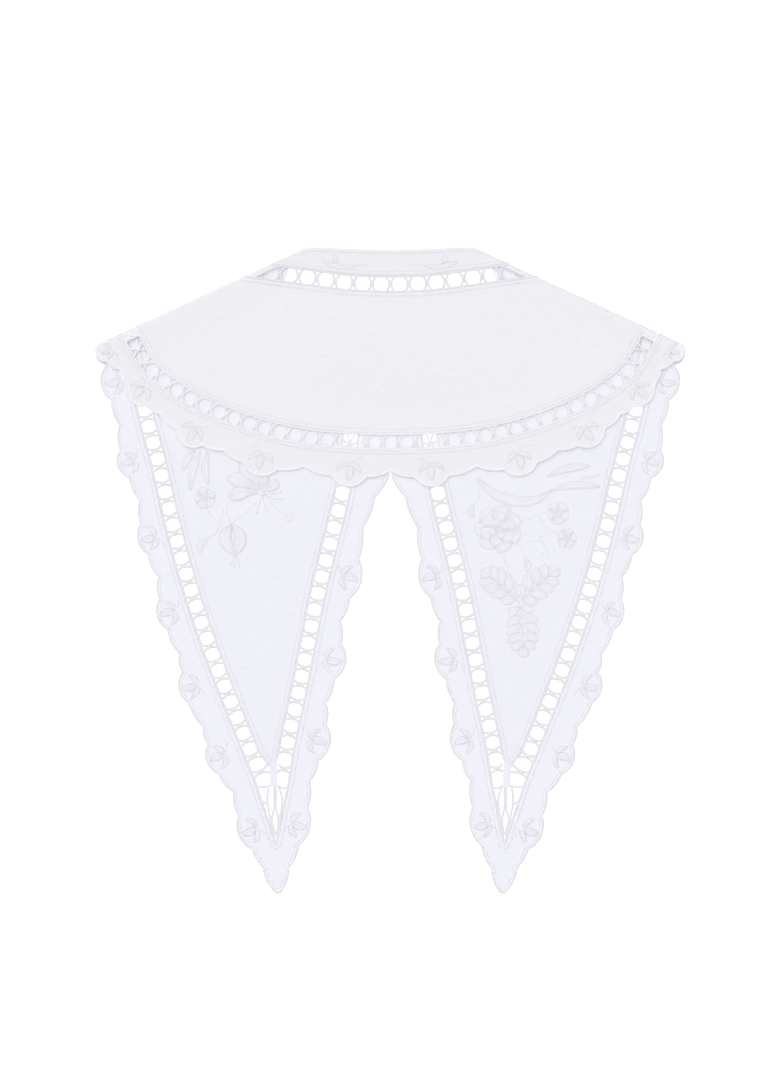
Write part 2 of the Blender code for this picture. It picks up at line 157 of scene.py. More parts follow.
def mirrored(line):
    return np.asarray(line) * (-1.0, 1.0)


def lengths(line):
    """The distance along a line at each of its points."""
    steps = np.linalg.norm(np.diff(line, axis=0), axis=1)
    return np.concatenate([[0.0], np.cumsum(steps)])


def points_at(line, places):
    """The points of a line at these lengths along it."""
    total = lengths(line)
    return np.stack([np.interp(places, total, line[:, k]) for k in (0, 1)], axis=1)


def evenly(line, step):
    """A line with evenly spaced points, its ends kept."""
    total = lengths(line)[-1]
    return points_at(line, np.linspace(0.0, total, max(1, round(total / step)) + 1))


def sides_of(line, closed=False):
    """Unit vectors to the left of a line, as seen with "down" drawn upwards."""
    if closed:
        course = np.roll(line, -1, axis=0) - np.roll(line, 1, axis=0)
    else:
        course = np.gradient(line, axis=0)
    left = np.stack([-course[:, 1], course[:, 0]], axis=1)
    return left / np.linalg.norm(left, axis=1, keepdims=True)


def beside(line, distance):
    """A line moved to its left by this distance."""
    return line + sides_of(line) * distance


# %% Where the folds cut the lines
def from_fold(points):
    """Distance of points inside the outline of the shoulder fold on their side."""
    flat = np.stack([np.abs(points[..., 0]), points[..., 1]], axis=-1)
    return (flat - NECK_CORNER) @ INWARD


def fold_point(length):
    """The point of the bend's middle line at this length from the neck."""
    return NECK_CORNER + ALONG * length + INWARD * CREST


def inside_folds(line):
    """The stretch of a line between the folds, ending exactly on their middle lines."""
    inside = from_fold(line) - CREST
    kept = []
    for i, point in enumerate(line):
        if i and inside[i - 1] * inside[i] < 0:
            share = inside[i - 1] / (inside[i - 1] - inside[i])
            kept.append(line[i - 1] + (point - line[i - 1]) * share)
        if inside[i] >= 0:
            kept.append(point)
    return np.array(kept)


def soft_corner(before, corner, after, length):
    """A rounded turn in place of a corner, starting this long before it."""
    before, corner, after = (np.array(point, float) for point in (before, corner, after))
    start = corner + (before - corner) * length / math.dist(before, corner)
    end = corner + (after - corner) * length / math.dist(after, corner)
    t = np.linspace(0.0, 1.0, 13)[:, None]
    return start * (1 - t) ** 2 + corner * 2 * t * (1 - t) + end * t**2


# %% Scallops and arcs
def scallop(start, end, bulge, side, step=1.0):
    """An arc between two points, standing out to the right (1) or left (-1) of its chord."""
    start, end = np.array(start, float), np.array(end, float)
    chord = math.dist(start, end)
    course = (end - start) / chord
    out = np.array((course[1], -course[0])) * side
    radius = (chord * chord / 4 + bulge * bulge) / (2 * bulge)
    sweep = math.atan2(chord / 2, radius - bulge)
    middle = (start + end) / 2 + out * (bulge - radius)
    count = max(2, round(2 * sweep * radius / step))
    turn = sweep * (2 * np.arange(count)[:, None] / count - 1)
    return middle + out * radius * np.cos(turn) + course * radius * np.sin(turn)


def scalloped(cusps, last, side, step=1.0):
    """The scalloped line through a table of cusps, up to the point last."""
    ends = [row[:2] for row in cusps[1:]] + [last]
    arcs = [scallop(row[:2], end, row[2], side, step) for row, end in zip(cusps, ends)]
    return np.vstack([*arcs, np.array([last], float)])


def round_points(angles, radius):
    """Points at these angles from "across" towards "down", and this radius or these radii."""
    return np.stack([np.cos(angles), np.sin(angles)], axis=1) * np.reshape(radius, (-1, 1))


def arc(middle, radius, first, last, step=1.0):
    """Points of an arc between two angles."""
    count = max(2, round(abs(last - first) * radius / step))
    return middle + round_points(np.linspace(first, last, count + 1), radius)


print("a shoulder fold ends at", fold_point(SHOULDER).round(1), "on the pattern")

# %% [markdown]
# ## Laying the cloth
# lay() takes a point of the pattern to its place in the frame. At a shoulder fold the cloth runs
# round a soft bend, so hems, bars and flowers drawn on the pattern follow the fold by themselves.
# The back settles on the fronts, arches a little over their necklines, and lifts along its edge.
# A cloth simulation could do this too, but a collar pressed this flat moves only by a millimetre
# or two, and these few soft shapes are easier to steer.

# %% The shape of the laid cloth
CLOTH = 0.6  # thickness of the lawn with its turned edges
FACE = 0.5  # the back's upper face, from the middle line of the bend
LINING_FACE = 0.1  # the fronts' upper face lies this far inside that middle line
SETTLE = 1.65  # the thin cloth lies low in the solid's thickness
SETTLED_AT = 24.0  # this far in from a fold
CROWN = 1.85  # the back's arch over the fronts' necklines
CROWN_WIDTH = 75.0
CROWN_FOOT = 72.0  # the arch fades from here down
CROWN_FADE = 45.0
EDGE_LIFT = 0.55  # the free edge stands off the fronts, on an oval of these half widths
EDGE_MIDDLE = 30.0
EDGE_ACROSS = 214.0
EDGE_DOWN = 126.0
RIPPLE = 0.2
RIPPLES = 9
CREASES_START = 12.0  # creases come in over this distance from a fold

# Soft ridges (+) and troughs (-): (across, down, towards across, towards down, width, height)
BACK_CREASES = (
    (-150, 60, -60, 112, 16, 0.35), (138, 52, 70, 104, 13, -0.30), (-40, 60, 48, 74, 20, 0.30),
    (20, 96, 108, 88, 14, 0.28), (-112, 84, -32, 104, 12, -0.26), (-70, 38, -118, 50, 11, 0.22),
    (84, 34, 128, 58, 12, 0.24), (-12, 118, 34, 112, 10, -0.2),
)
FRONT_CREASES = (
    (60, 178, 132, 196, 13, 0.34), (74, 232, 128, 214, 10, 0.26), (66, 268, 112, 290, 12, 0.32),
    (96, 150, 84, 208, 12, 0.24), (78, 318, 100, 296, 8, 0.24), (150, 120, 166, 158, 9, 0.3),
)


def smooth_step(value):
    value = np.clip(value, 0.0, 1.0)
    return value * value * (3 - 2 * value)


def back_lift(flat):
    """Height of the back over the level at which it leaves the shoulder fold."""
    across, down = flat[:, 0], flat[:, 1]
    settled = smooth_step((from_fold(flat) - BEND_STARTS) / SETTLED_AT)
    below = down - EDGE_MIDDLE
    outwards = np.hypot(across / EDGE_ACROSS, np.maximum(0.0, below) / EDGE_DOWN)
    near_edge = smooth_step((outwards - 0.6) / 0.4)
    ripple = RIPPLE * np.sin(RIPPLES * np.arctan2(across, below) + 0.6) * near_edge
    crown = CROWN * np.exp(-((across / CROWN_WIDTH) ** 2))
    crown *= 1 - smooth_step((down - CROWN_FOOT) / CROWN_FADE)
    return settled * (crown - SETTLE + EDGE_LIFT * near_edge + ripple)


def creases(points, table):
    """Height that a table of soft ridges and troughs adds at these points."""
    height = np.zeros(len(points))
    for across, down, end_across, end_down, width, rise in table:
        start = np.array((across, down), float)
        course = np.array((end_across - across, end_down - down), float)
        share = np.clip((points - start) @ course / (course @ course), 0.0, 1.0)
        aside = np.linalg.norm(points - start - share[:, None] * course, axis=1)
        height += rise * np.exp(-((aside / width) ** 2)) * (0.6 + 0.4 * np.sin(math.pi * share))
    return height


def lay(points, upper, rise=0.0):
    """Where points of the pattern lie, in metres. rise is a height over the face that shows."""
    points = np.asarray(points, float)
    side = np.where(points[:, 0] < 0, -1.0, 1.0)
    flat = np.stack([np.abs(points[:, 0]), points[:, 1]], axis=1)
    inside = from_fold(flat)
    past = np.maximum(0.0, BEND_STARTS - inside)
    angle = past / BEND
    easing = smooth_step((inside - BEND_STARTS) / CREASES_START)
    if upper:
        reach = BEND + FACE + rise
        height = BEND_STARTS + reach * np.cos(angle) + back_lift(flat)
        height += creases(points, BACK_CREASES) * easing
    else:
        reach = BEND - LINING_FACE - rise
        height = BEND_STARTS - reach * np.cos(angle)
        height += creases(flat, FRONT_CREASES) * easing
    plan = flat + INWARD * (past - reach * np.sin(angle))[:, None]
    return np.stack([side * plan[:, 0], NECK_Y - plan[:, 1], height], axis=1) * MM


spots = np.array([(0.0, 60.0), (0.0, 150.0), (150.0, 90.0)])
print("the back lies this high, in mm:", (lay(spots, True)[:, 2] / MM).round(2))

# %% [markdown]
# ## The finishes
# All is white: matt lawn with uneven threads, and softer cotton for the sewing. The lawn's two
# thread directions are wave textures in object coordinates, so they need no unwrapping and run
# straight through every piece. Sewing threads are ribbed along their own length, so they use the
# UV map that the sweeps write, which holds millimetres along and across each cord.

# %% Node helpers
WAVE_LENGTH = math.pi / 10  # length of one band of Blender's wave texture at scale 1
THREAD_RELIEF = 0.12 * MM


def set_inputs(tree, node, values):
    """Sets a node's inputs to plain values, or joins them to the outputs of other nodes."""
    for name, value in values.items():
        if isinstance(value, bpy.types.NodeSocket):
            tree.links.new(value, node.inputs[name])
        else:
            node.inputs[name].default_value = value


def new_node(tree, kind, values, **settings):
    """A node of this kind with these settings and inputs."""
    node = tree.nodes.new(kind)
    for name, value in settings.items():
        setattr(node, name, value)
    set_inputs(tree, node, values)
    return node


def new_finish(name, colour, roughness, sheen):
    """A material with its tree and shader, ready for a texture."""
    finish = bpy.data.materials.new(name)
    finish.use_nodes = True
    finish.diffuse_color = (*colour, 1.0)
    tree = finish.node_tree
    shader = tree.nodes["Principled BSDF"]
    values = {"Base Color": (*colour, 1.0), "Roughness": roughness, "Specular IOR Level": 0.3}
    set_inputs(tree, shader, values | {"Sheen Weight": sheen, "Sheen Roughness": 0.6})
    return finish, tree, shader


def blended(tree, first, second, share):
    """A mix of two heights, with this share of the second."""
    values = {"A": first, "B": second, "Factor": share}
    return new_node(tree, "ShaderNodeMix", values, data_type="FLOAT").outputs["Result"]


def textured(tree, shader, height, strength, shade, colour, low, high):
    """Bumps the surface by a height, and runs the colour between two close shades of it."""
    values = {"Height": height, "Distance": THREAD_RELIEF, "Strength": strength}
    bump = new_node(tree, "ShaderNodeBump", values)
    dark, light = [(*(min(1.0, c * share) for c in colour), 1.0) for share in (low, high)]
    values = {"A": dark, "B": light, "Factor": shade}
    mix = new_node(tree, "ShaderNodeMix", values, data_type="RGBA")
    values = {"Normal": bump.outputs["Normal"], "Base Color": mix.outputs["Result"]}
    set_inputs(tree, shader, values)


# %% White lawn
THREAD_PITCH = 0.42 * MM
SLUB_LENGTH = 6.0 * MM
SLUB_WIDTH = 0.65 * MM


def weave_threads(tree, place, direction):
    """One set of threads of the weave, slightly wavy."""
    values = {"Vector": place, "Scale": WAVE_LENGTH / THREAD_PITCH, "Distortion": 0.6}
    values |= {"Detail": 1.0, "Detail Scale": 0.6}
    return new_node(tree, "ShaderNodeTexWave", values, bands_direction=direction).outputs["Fac"]


def slubs(tree, place, long_way):
    """Thick and thin places of the threads that run this way."""
    scale = [1 / SLUB_WIDTH] * 3
    scale[long_way] = 1 / SLUB_LENGTH
    stretch = new_node(tree, "ShaderNodeMapping", {"Vector": place, "Scale": scale})
    values = {"Vector": stretch.outputs["Vector"], "Scale": 1.0, "Detail": 3.0}
    noise = new_node(tree, "ShaderNodeTexNoise", values)
    values = {"Value": noise.outputs["Fac"], "From Min": 0.36, "From Max": 0.66}
    return new_node(tree, "ShaderNodeMapRange", values).outputs["Result"]


def lawn(name, colour):
    """Fine white plain weave."""
    finish, tree, shader = new_finish(name, colour, 0.86, 0.12)
    place = new_node(tree, "ShaderNodeTexCoord", {}).outputs["Object"]
    weave = blended(tree, *[weave_threads(tree, place, way) for way in "XY"], 0.5)
    uneven = blended(tree, slubs(tree, place, 0), slubs(tree, place, 1), 0.3)
    textured(tree, shader, blended(tree, weave, uneven, 0.6), 0.5, uneven, colour, 0.975, 1.025)
    return finish


# %% Sewing threads
def ribbed(name, colour, pitch, slant, roughness=0.7):
    """Thread laid stitch beside stitch: ribs across the UV map's first direction."""
    finish, tree, shader = new_finish(name, colour, roughness, 0.25)
    along = new_node(tree, "ShaderNodeUVMap", {}, uv_map="along").outputs["UV"]
    turn = new_node(tree, "ShaderNodeMapping", {"Vector": along, "Rotation": (0.0, 0.0, slant)})
    values = {"Vector": turn.outputs["Vector"], "Scale": WAVE_LENGTH / pitch, "Distortion": 0.8}
    wave = new_node(tree, "ShaderNodeTexWave", values | {"Detail": 1.0}, bands_direction="X")
    ribs_height = wave.outputs["Fac"]
    noise = new_node(tree, "ShaderNodeTexNoise", {"Vector": along, "Scale": 0.7, "Detail": 2.0})
    # The colour follows the ribs by half, so the dips between stitches come out darker: painted
    # shade. The other half is random tone.
    shade = blended(tree, ribs_height, noise.outputs["Fac"], 0.5)
    textured(tree, shader, ribs_height, 0.55, shade, colour, 0.94, 1.02)
    return finish


def shaded(colour, share):
    return [c * share for c in colour]


LAWN_WHITE = (0.845, 0.845, 0.876)
# The fronts are the same lawn as the back: their bluer white is a painted lavender cast of the
# light on them.
FRONT_WHITE_PAINTED_LAVENDER = (0.847, 0.853, 0.908)
BAR_WHITE = (0.835, 0.833, 0.866)
EDGE_AND_LIT_BAR_WHITE = (0.925, 0.925, 0.948)
SATIN_WHITE = (0.878, 0.876, 0.908)
# The fronts' satin is tinted to the same painted lavender cast of the light.
FRONT_SATIN_PAINTED_LAVENDER = (0.878, 0.880, 0.938)
# Stem stitch is the same white cotton; it is painted darker as the shade in the fine grooves beside
# the outline cords.
STEM_WHITE_PAINTED_SHADE = (0.815, 0.804, 0.868)
panel_lawn = lawn("white lawn", LAWN_WHITE)
border_lawn = lawn("white border lawn", shaded(LAWN_WHITE, 0.99))
front_lawn_painted_lavender = lawn("white lawn of the fronts, painted lavender light", FRONT_WHITE_PAINTED_LAVENDER)
front_border_lawn_painted_lavender = lawn("white border lawn of the fronts, painted lavender light", shaded(FRONT_WHITE_PAINTED_LAVENDER, 1.01))
wrapped_thread = ribbed("wrapped cotton thread", BAR_WHITE, 0.5, 0.25)
# The back's outer bars are the same cotton as every other bar; this lighter copy is painted light
# on them.
back_bar_thread_painted_light = ribbed("wrapped cotton thread of the back, painted lighter", EDGE_AND_LIT_BAR_WHITE, 0.5, 0.25)
edge_thread = ribbed("buttonholed edge thread", EDGE_AND_LIT_BAR_WHITE, 0.55, 0.0)
satin_thread = ribbed("satin stitch thread", SATIN_WHITE, 0.45, 0.9, 0.6)
front_satin_painted_lavender = ribbed("satin stitch thread of the fronts, painted lavender light", FRONT_SATIN_PAINTED_LAVENDER, 0.45, 0.9, 0.6)
stem_thread_painted_dark = ribbed("stem stitch thread, painted dark as groove shade", STEM_WHITE_PAINTED_SHADE, 0.6, 0.6)
# The hem stitching is the same cotton as the bars; its darker colour is painted shade of the groove
# it lies in.
groove_shade_thread = ribbed("hem stitching painted dark as groove shade", shaded(BAR_WHITE, 0.93), 0.8, 0.0, 0.9)
print("finishes:", [material.name for material in bpy.data.materials])

# %% [markdown]
# ## Cutting the cloth
# A piece of cloth is an outline filled with an even grid of points, which Delaunay triangulation
# joins. Extra rows of points along the shoulder folds let the cloth bend smoothly there. Both
# faces and the walls between them make a closed thin shell. The Solidify modifier would do that
# too, but lay() already knows where the other face is.

# %% Filling an outline
def within(points, outline):
    """Which points lie inside a closed outline."""
    x, y = points[:, 0], points[:, 1]
    inside = np.zeros(len(points), bool)
    for a, b in zip(outline, np.roll(outline, -1, axis=0)):
        if a[1] != b[1]:
            crosses = (a[1] > y) != (b[1] > y)
            inside ^= crosses & (x < a[0] + (b[0] - a[0]) * (y - a[1]) / (b[1] - a[1]))
    return inside


def clear_of(points, outline, distance):
    """The points that are at least this far from every point of the outline."""
    kept = []
    for part in np.array_split(points, max(1, len(points) // 2000)):
        apart = np.linalg.norm(part[:, None] - outline[None], axis=2).min(axis=1)
        kept.append(part[apart > distance])
    return np.vstack(kept)


def grid_in(outline, spacing):
    """Rows of points inside an outline, each row set half a space over from the last."""
    step = np.array((spacing, spacing * math.sin(math.pi / 3)))
    low, high = np.floor(outline.min(axis=0) / step), np.ceil(outline.max(axis=0) / step) + 1
    column, row = np.meshgrid(*[np.arange(*ends) for ends in zip(low, high)])
    points = np.stack([column + 0.5 * (row % 2), row], axis=-1).reshape(-1, 2) * step
    points = points[within(points, outline)]
    points = points[from_fold(points) > BEND_STARTS + spacing / 2]
    return clear_of(points, outline, spacing * 0.6)


def bend_rows(outline, spacing=2.0, rows=9):
    """Rows of points along both shoulders, close enough for a smooth bend."""
    along = np.arange(-20.0, SHOULDER + 20.0, spacing)[:, None]
    first = BEND_STARTS + 0.15
    depths = [first - (first - CREST) * row / rows for row in range(rows)]
    points = np.vstack([NECK_CORNER + INWARD * depth + ALONG * along for depth in depths])
    points = np.vstack([points, mirrored(points)])
    points = points[within(points, outline)]
    return clear_of(points, outline, 0.2) if len(points) else points


# %% A shell of cloth
def new_piece(name, points, faces, finish, sharp, nodes=(), corners=None):
    """A smooth mesh, which says what it rides on, is finished like and replaces."""
    mesh = bpy.data.meshes.new(name)
    mesh.from_pydata(np.vstack(points).tolist(), [], faces)
    if corners:
        layer = mesh.uv_layers.new(name="along")
        layer.data.foreach_set("uv", np.vstack(corners).astype(np.float32).ravel())
    mesh.materials.append(finish)
    mesh.shade_smooth()
    mesh.set_sharp_from_angle(angle=math.radians(sharp))
    mesh.update()
    piece = bpy.data.objects.new(name, mesh)
    bpy.context.scene.collection.objects.link(piece)
    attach(piece, "root")
    if nodes:
        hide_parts(*nodes)
    print(name, "has", len(mesh.polygons), "faces")
    return piece


def shell(name, outline, spacing, upper, finish, node, sunk=0.0):
    """A thin closed shell of cloth inside an outline, sunk by this much below the cloth's face."""
    inner = np.vstack([grid_in(outline, spacing), bend_rows(outline)])
    points = [Vector(point) for point in np.vstack([outline, inner])]
    count = len(outline)
    rim = [(i, (i + 1) % count) for i in range(count)]
    flat, _, triangles, *_ = delaunay_2d_cdt(points, rim, [], 0, 1e-4)
    flat, triangles = np.array([tuple(point) for point in flat]), np.array(triangles)
    triangles = triangles[within(flat[triangles].mean(axis=1), outline)]
    used, triangles = np.unique(triangles, return_inverse=True)
    triangles = triangles.reshape(-1, 3)
    flat, count = flat[used], len(used)
    sides = {side for a, b, c in triangles.tolist() for side in ((a, b), (b, c), (c, a))}
    walls = [(a, b) for a, b in sorted(sides) if (b, a) not in sides]
    faces = triangles[:, ::-1].tolist() + (triangles + count).tolist()
    faces += [(a, b, b + count, a + count) for a, b in walls]
    both_faces = lay(flat, upper, -sunk), lay(flat, upper, -CLOTH)
    return new_piece(name, both_faces, faces, finish, 50, [node])


# %% [markdown]
# ## Sewing on the cloth
# Hems, bars, cords and leaf outlines are threads or strips that run along a line, so one tool
# makes them: a small profile carried along a line of the pattern. A curve with a bevel would do
# for a cord in the air, but here each ring of points has to lie on the cloth and go round the
# fold with it. The rings of many threads are gathered in one mesh.

# %% Gathering threads into one mesh
class Sewing:
    """Threads and petals that become one mesh, with a UV map in millimetres.

    upper says whether they lie on the back or on the fronts. A side of -1 mirrors what is sewn,
    and outlines holds the stem stitch that goes round embroidery.
    """

    def __init__(self, upper, side=1.0):
        self.upper = upper
        self.side = side
        self.outlines = None
        self.points = []
        self.faces = []
        self.corners = []
        self.count = 0

    def rings(self, rings, along, around, closed=False):
        """Joins rings of points, each (points, 3), and closes the ends."""
        rows, size = rings.shape[:2]
        row, column = np.indices((rows if closed else rows - 1, size))
        here, after, beyond = row * size, (row + 1) % rows * size, (column + 1) % size
        quads = np.stack([here + column, here + beyond, after + beyond, after + column], axis=-1)
        near, far = along[row], along[row] + (along[1] - along[0])
        u = np.stack([near, near, far, far], axis=-1)
        width = np.append(around, around[-1] + around[1] - around[0])
        v = np.stack([width[column], width[column + 1], width[column + 1], width[column]], axis=-1)
        self.faces += (quads.reshape(-1, 4) + self.count).tolist()
        self.corners.append(np.stack([u, v], axis=-1).reshape(-1, 2))
        if not closed:
            end = np.arange(size) + self.count
            self.faces += [end[::-1].tolist(), (end + (rows - 1) * size).tolist()]
            self.corners.append(np.zeros((2 * size, 2)))
        self.points.append(rings.reshape(-1, 3))
        self.count += rows * size

    def sweep(self, line, profile, rise=0.0, girth=1.0, closed=False):
        """Carries a profile of (aside, rise) pairs along a line of the pattern."""
        line = np.asarray(line, float)
        rows, size = len(line), len(profile)
        girth = np.broadcast_to(girth, rows)[:, None]
        rise = np.broadcast_to(rise, rows)[:, None]
        aside = girth * profile[None, :, 0]
        spots = line[:, None] + sides_of(line, closed)[:, None] * aside[..., None]
        heights = (rise + girth * profile[None, :, 1]).reshape(-1)
        rings = lay(spots.reshape(-1, 2), self.upper, heights).reshape(rows, size, 3)
        self.rings(rings, lengths(line), lengths(profile), closed)

    def finish(self, name, material, slot, nodes=()):
        """Makes one mesh of everything sewn so far."""
        new_piece(name, self.points, self.faces, material, 60, nodes, self.corners)


def sewn(stitch, lines, upper):
    """The same stitch along some lines."""
    work = Sewing(upper)
    for line in lines:
        stitch(work, line)
    return work


# %% Profiles of threads and strips
def oval(width, height, middle=0.0, sides=8):
    """A closed oval profile, turned so that its faces look outwards."""
    turn = np.linspace(0.0, 2 * math.pi, sides, endpoint=False)
    return np.stack([width / 2 * np.cos(turn), middle - height / 2 * np.sin(turn)], axis=1)


def ribs(count, depth):
    """Girth of a thread that swells and sinks from ring to ring, as wraps do."""
    return 1.0 - depth * (np.arange(count) % 2)


HEM = 2.3  # width of a turned hem
HEM_PROFILE = np.array(
    ((0.0, -0.2), (0.05, 0.12), (0.5, 0.3), (1.7, 0.27), (2.2, 0.16), (HEM, -0.2))
)
print("a hem is", HEM, "mm wide")

# %% [markdown]
# ## Bands of openwork
# Between two hems the cloth is gone, and bars of wrapped thread bridge the band. Two bars are
# bundled at its middle and spread out towards the hems, so that a round gap stays between one
# bundle and the next. A see-through pattern could show the gaps, but real bars catch the light
# and cast shadows.

# %% Rails and crossed bars
RAIL = 1.6  # width of the overcast edge of a band
RAIL_PROFILE = oval(RAIL, 1.0, -0.2)
RING_STEP = 0.45
NEAREST_FOLD = 3.4  # no bundle stands nearer to a shoulder fold
BAR_HEIGHT = 0.9
BAR_RISE = -0.22
Bars = namedtuple("Bars", "width waist spread split")
# waist and spread: from the middle of a bundle to the middle of a bar, there and at the rails
# split: the bars part at this share of the way from the waist to a rail
FRONT_BARS = Bars(1.9, 0.85, 2.7, 0.3)
BACK_BARS = Bars(1.3, 0.6, 3.15, 0.12)
NECK_BARS = Bars(1.65, 0.7, 3.2, 0.3)


def rail(work, line, side):
    """An overcast rail beside a line: to its left, or to its right for side -1."""
    route = evenly(beside(line, side * RAIL / 2), RING_STEP)
    work.sweep(route, RAIL_PROFILE, 0.0, ribs(len(route), 0.06))


def reach(spot, direction, line, most):
    """How far it is from a spot to a line in this direction, or most if the line is not met."""
    start, step = line[:-1] - spot, np.diff(line, axis=0)
    turn = direction[0] * step[:, 1] - direction[1] * step[:, 0]
    turn = np.where(np.abs(turn) < 1e-9, 1e-9, turn)
    away = (start[:, 0] * step[:, 1] - start[:, 1] * step[:, 0]) / turn
    share = (start[:, 0] * direction[1] - start[:, 1] * direction[0]) / turn
    met = away[(away > 0) & (share >= -0.01) & (share <= 1.01)]
    return min(most, met.min()) if len(met) else most


def bundle(work, spot, course, ways, bars):
    """Two bars bundled at a spot. ways are the distances to the rails on its left and right."""
    left = np.array((-course[1], course[0]))
    share = np.linspace(-1.0, 1.0, 27)
    across = np.where(share > 0, ways[0], ways[1]) * share
    parted = np.clip((np.abs(share) - bars.split) / (1 - bars.split), 0.0, 1.0) ** 1.2
    bow = bars.waist + (bars.spread - bars.waist) * parted
    profile = oval(bars.width, BAR_HEIGHT, 0.0, 6)
    for side in (-1.0, 1.0):
        line = spot + left * across[:, None] + course * (side * bow)[:, None]
        work.sweep(line, profile, BAR_RISE, ribs(len(line), 0.1))
    wrap = oval(2 * bars.waist + bars.width, 1.2)
    waist = spot + left * np.linspace(-0.8, 0.8, 7)[:, None]
    work.sweep(waist, wrap, BAR_RISE, np.array((0.85, 1, 0.93, 1, 0.93, 1, 0.85)))


def bundles(work, band, places, bars, sides, nearest=NEAREST_FOLD):
    """Bundles at these lengths along a band between its two sides, as near to a fold as this."""
    for place in places:
        spot, ahead = points_at(band, [place, place + 0.5])
        if from_fold(spot) < nearest:
            continue
        course = (ahead - spot) / np.linalg.norm(ahead - spot)
        left = np.array((-course[1], course[0]))
        ways = [
            min(reach(spot, way, side, BAND) for side in sides) - RAIL * 0.4
            for way in (left, -left)
        ]
        bundle(work, spot, course, ways, bars)


def centred_places(line, pitch, bar_on_centre):
    """Lengths along a line across the back, with a bundle on its middle or gaps beside it."""
    middle = lengths(line)[-1] / 2
    first = 0.0 if bar_on_centre else pitch / 2
    right = np.arange(middle + first, 2 * middle - 1, pitch)
    return np.unique(np.concatenate([right, 2 * middle - right]).round(6))


# %% [markdown]
# A band runs round the shoulder fold at its ends. Its threads are darned closed there, so the end
# is a small piece of cloth, a little lower than the hems beside it.

# %% Closed ends of the bands
BAND_END_LENGTH = 8.0
BAND_END_SUNK = 0.2


def band_end(node, top, foot, length, upper, side_name, finish):
    """The closed end of a band between its top and foot lines, this long from their start."""
    along = np.arange(0.0, length + 0.1, 1.5)
    outline = np.vstack([points_at(top, along), points_at(foot, along)[::-1]])
    name = f"{node}_end_{side_name}"
    shell(name, outline, 1.5, upper, finish, node, BAND_END_SUNK)


# %% [markdown]
# ## The back
# The back is a neck border, a band of openwork, the wide panel, another band of openwork and the
# scalloped border, from the neck down. All five run right across, from fold to fold.

# %% The back's lines, from the left fold to the right
LINE_STEP = 1.5  # between the points of a sheet's edge


def between_folds(line):
    """The stretch of a line between the folds, evenly spaced."""
    return evenly(inside_folds(line), LINE_STEP)


neck_band = curve(both_sides(BACK_NECK_BAND))
outer_band = curve(both_sides(BACK_OUTER_BAND))
neck_top, neck_foot = [between_folds(beside(neck_band, way * BAND / 2)) for way in (-1, 1)]
outer_top, outer_foot = [between_folds(beside(outer_band, way * BAND / 2)) for way in (-1, 1)]
neck_edge = evenly(curve(both_sides(BACK_NECK_EDGE)), LINE_STEP)
neck_edge = np.vstack([mirrored([fold_point(0)]), neck_edge, [fold_point(0)]])
half_edge = scalloped(BACK_SCALLOPS, fold_point(SHOULDER), -1)
back_edge = np.vstack([mirrored(half_edge)[::-1], half_edge[1:]])
print("the back's scalloped edge is", round(lengths(back_edge)[-1]), "mm long")

# %% [markdown]
# Each piece of cloth is a thin shell that fills the outline it was cut to.

# %% A piece of cloth
def cloth(node, outline, spacing, upper, finish):
    """The shell of one piece of cloth."""
    piece = shell(node + "_cloth", outline, spacing, upper, finish, node)


# %% Hems and their stitches
STITCH_PROFILE = oval(0.42, 0.3, 0.0, 6)
STITCH_GIRTH = np.array((0.35, 1.0, 1.0, 0.35))
STITCH_PITCH = 2.1
STITCH_LENGTH = 1.3
STITCH_ASIDE = HEM + 0.75
GROOVE_PROFILE = oval(0.75, 0.3, -0.06, 6)
GROOVE_ASIDE = HEM + 0.1
HEM_STEP = 1.2


def hem(work, line):
    """A turned hem to the left of a line."""
    work.sweep(evenly(line, HEM_STEP), HEM_PROFILE)


def groove(work, line):
    """A line of stitching that holds a hem down, a little sunk; its thread is painted darker as the
    groove's shade.
    """
    work.sweep(beside(evenly(line, HEM_STEP), GROOVE_ASIDE), GROOVE_PROFILE)


def hem_stitches(work, line):
    """Small straight stitches beside a hem."""
    route = beside(evenly(line, 1.0), STITCH_ASIDE)
    for place in np.arange(STITCH_PITCH, lengths(route)[-1] - STITCH_PITCH, STITCH_PITCH):
        stitch = points_at(route, place + np.linspace(-0.5, 0.5, 4) * STITCH_LENGTH)
        work.sweep(stitch, STITCH_PROFILE, 0.1, STITCH_GIRTH)


# %% The back's panels and borders
front_panels = ["front_panel_left", "front_panel_right"]
front_borders = ["front_border_left", "front_border_right"]
border_cut = (28.0, round(lengths(outer_foot)[-1]))
for name, top, foot, spacing, finish, cut, rests_on in (
    ("neck_border", neck_edge, neck_top, 1.8, border_lawn, (19.5, 166.0), front_panels),
    ("panel", neck_foot, outer_top, 2.2, panel_lawn, (122.0, 356.0), front_panels),
    ("border", outer_foot, back_edge, 1.6, border_lawn, border_cut, front_borders),
):
    outline = np.vstack([top, foot[::-1]])
    slot = "panel_cloth" if name == "panel" else "border_cloth"
    cloth("back_" + name, outline, spacing, True, finish)


# %% The back's hems and stitches
back_lines = (neck_edge, neck_top[::-1], neck_foot, outer_top[::-1], outer_foot)
for name, lines, finish, slot, node in (
    ("back_neck_border_hems", back_lines[:2], border_lawn, "border_cloth", "back_neck_border"),
    ("back_panel_hems", back_lines[2:4], panel_lawn, "panel_cloth", "back_panel"),
    ("back_border_hem", back_lines[4:], border_lawn, "border_cloth", "back_border"),
):
    sewn(hem, lines, True).finish(name, finish, slot, [node])
sewn(hem_stitches, back_lines, True).finish("back_hem_stitches", wrapped_thread, "openwork_thread")
sewn(groove, back_lines, True).finish("back_hem_grooves", groove_shade_thread, "openwork_thread")

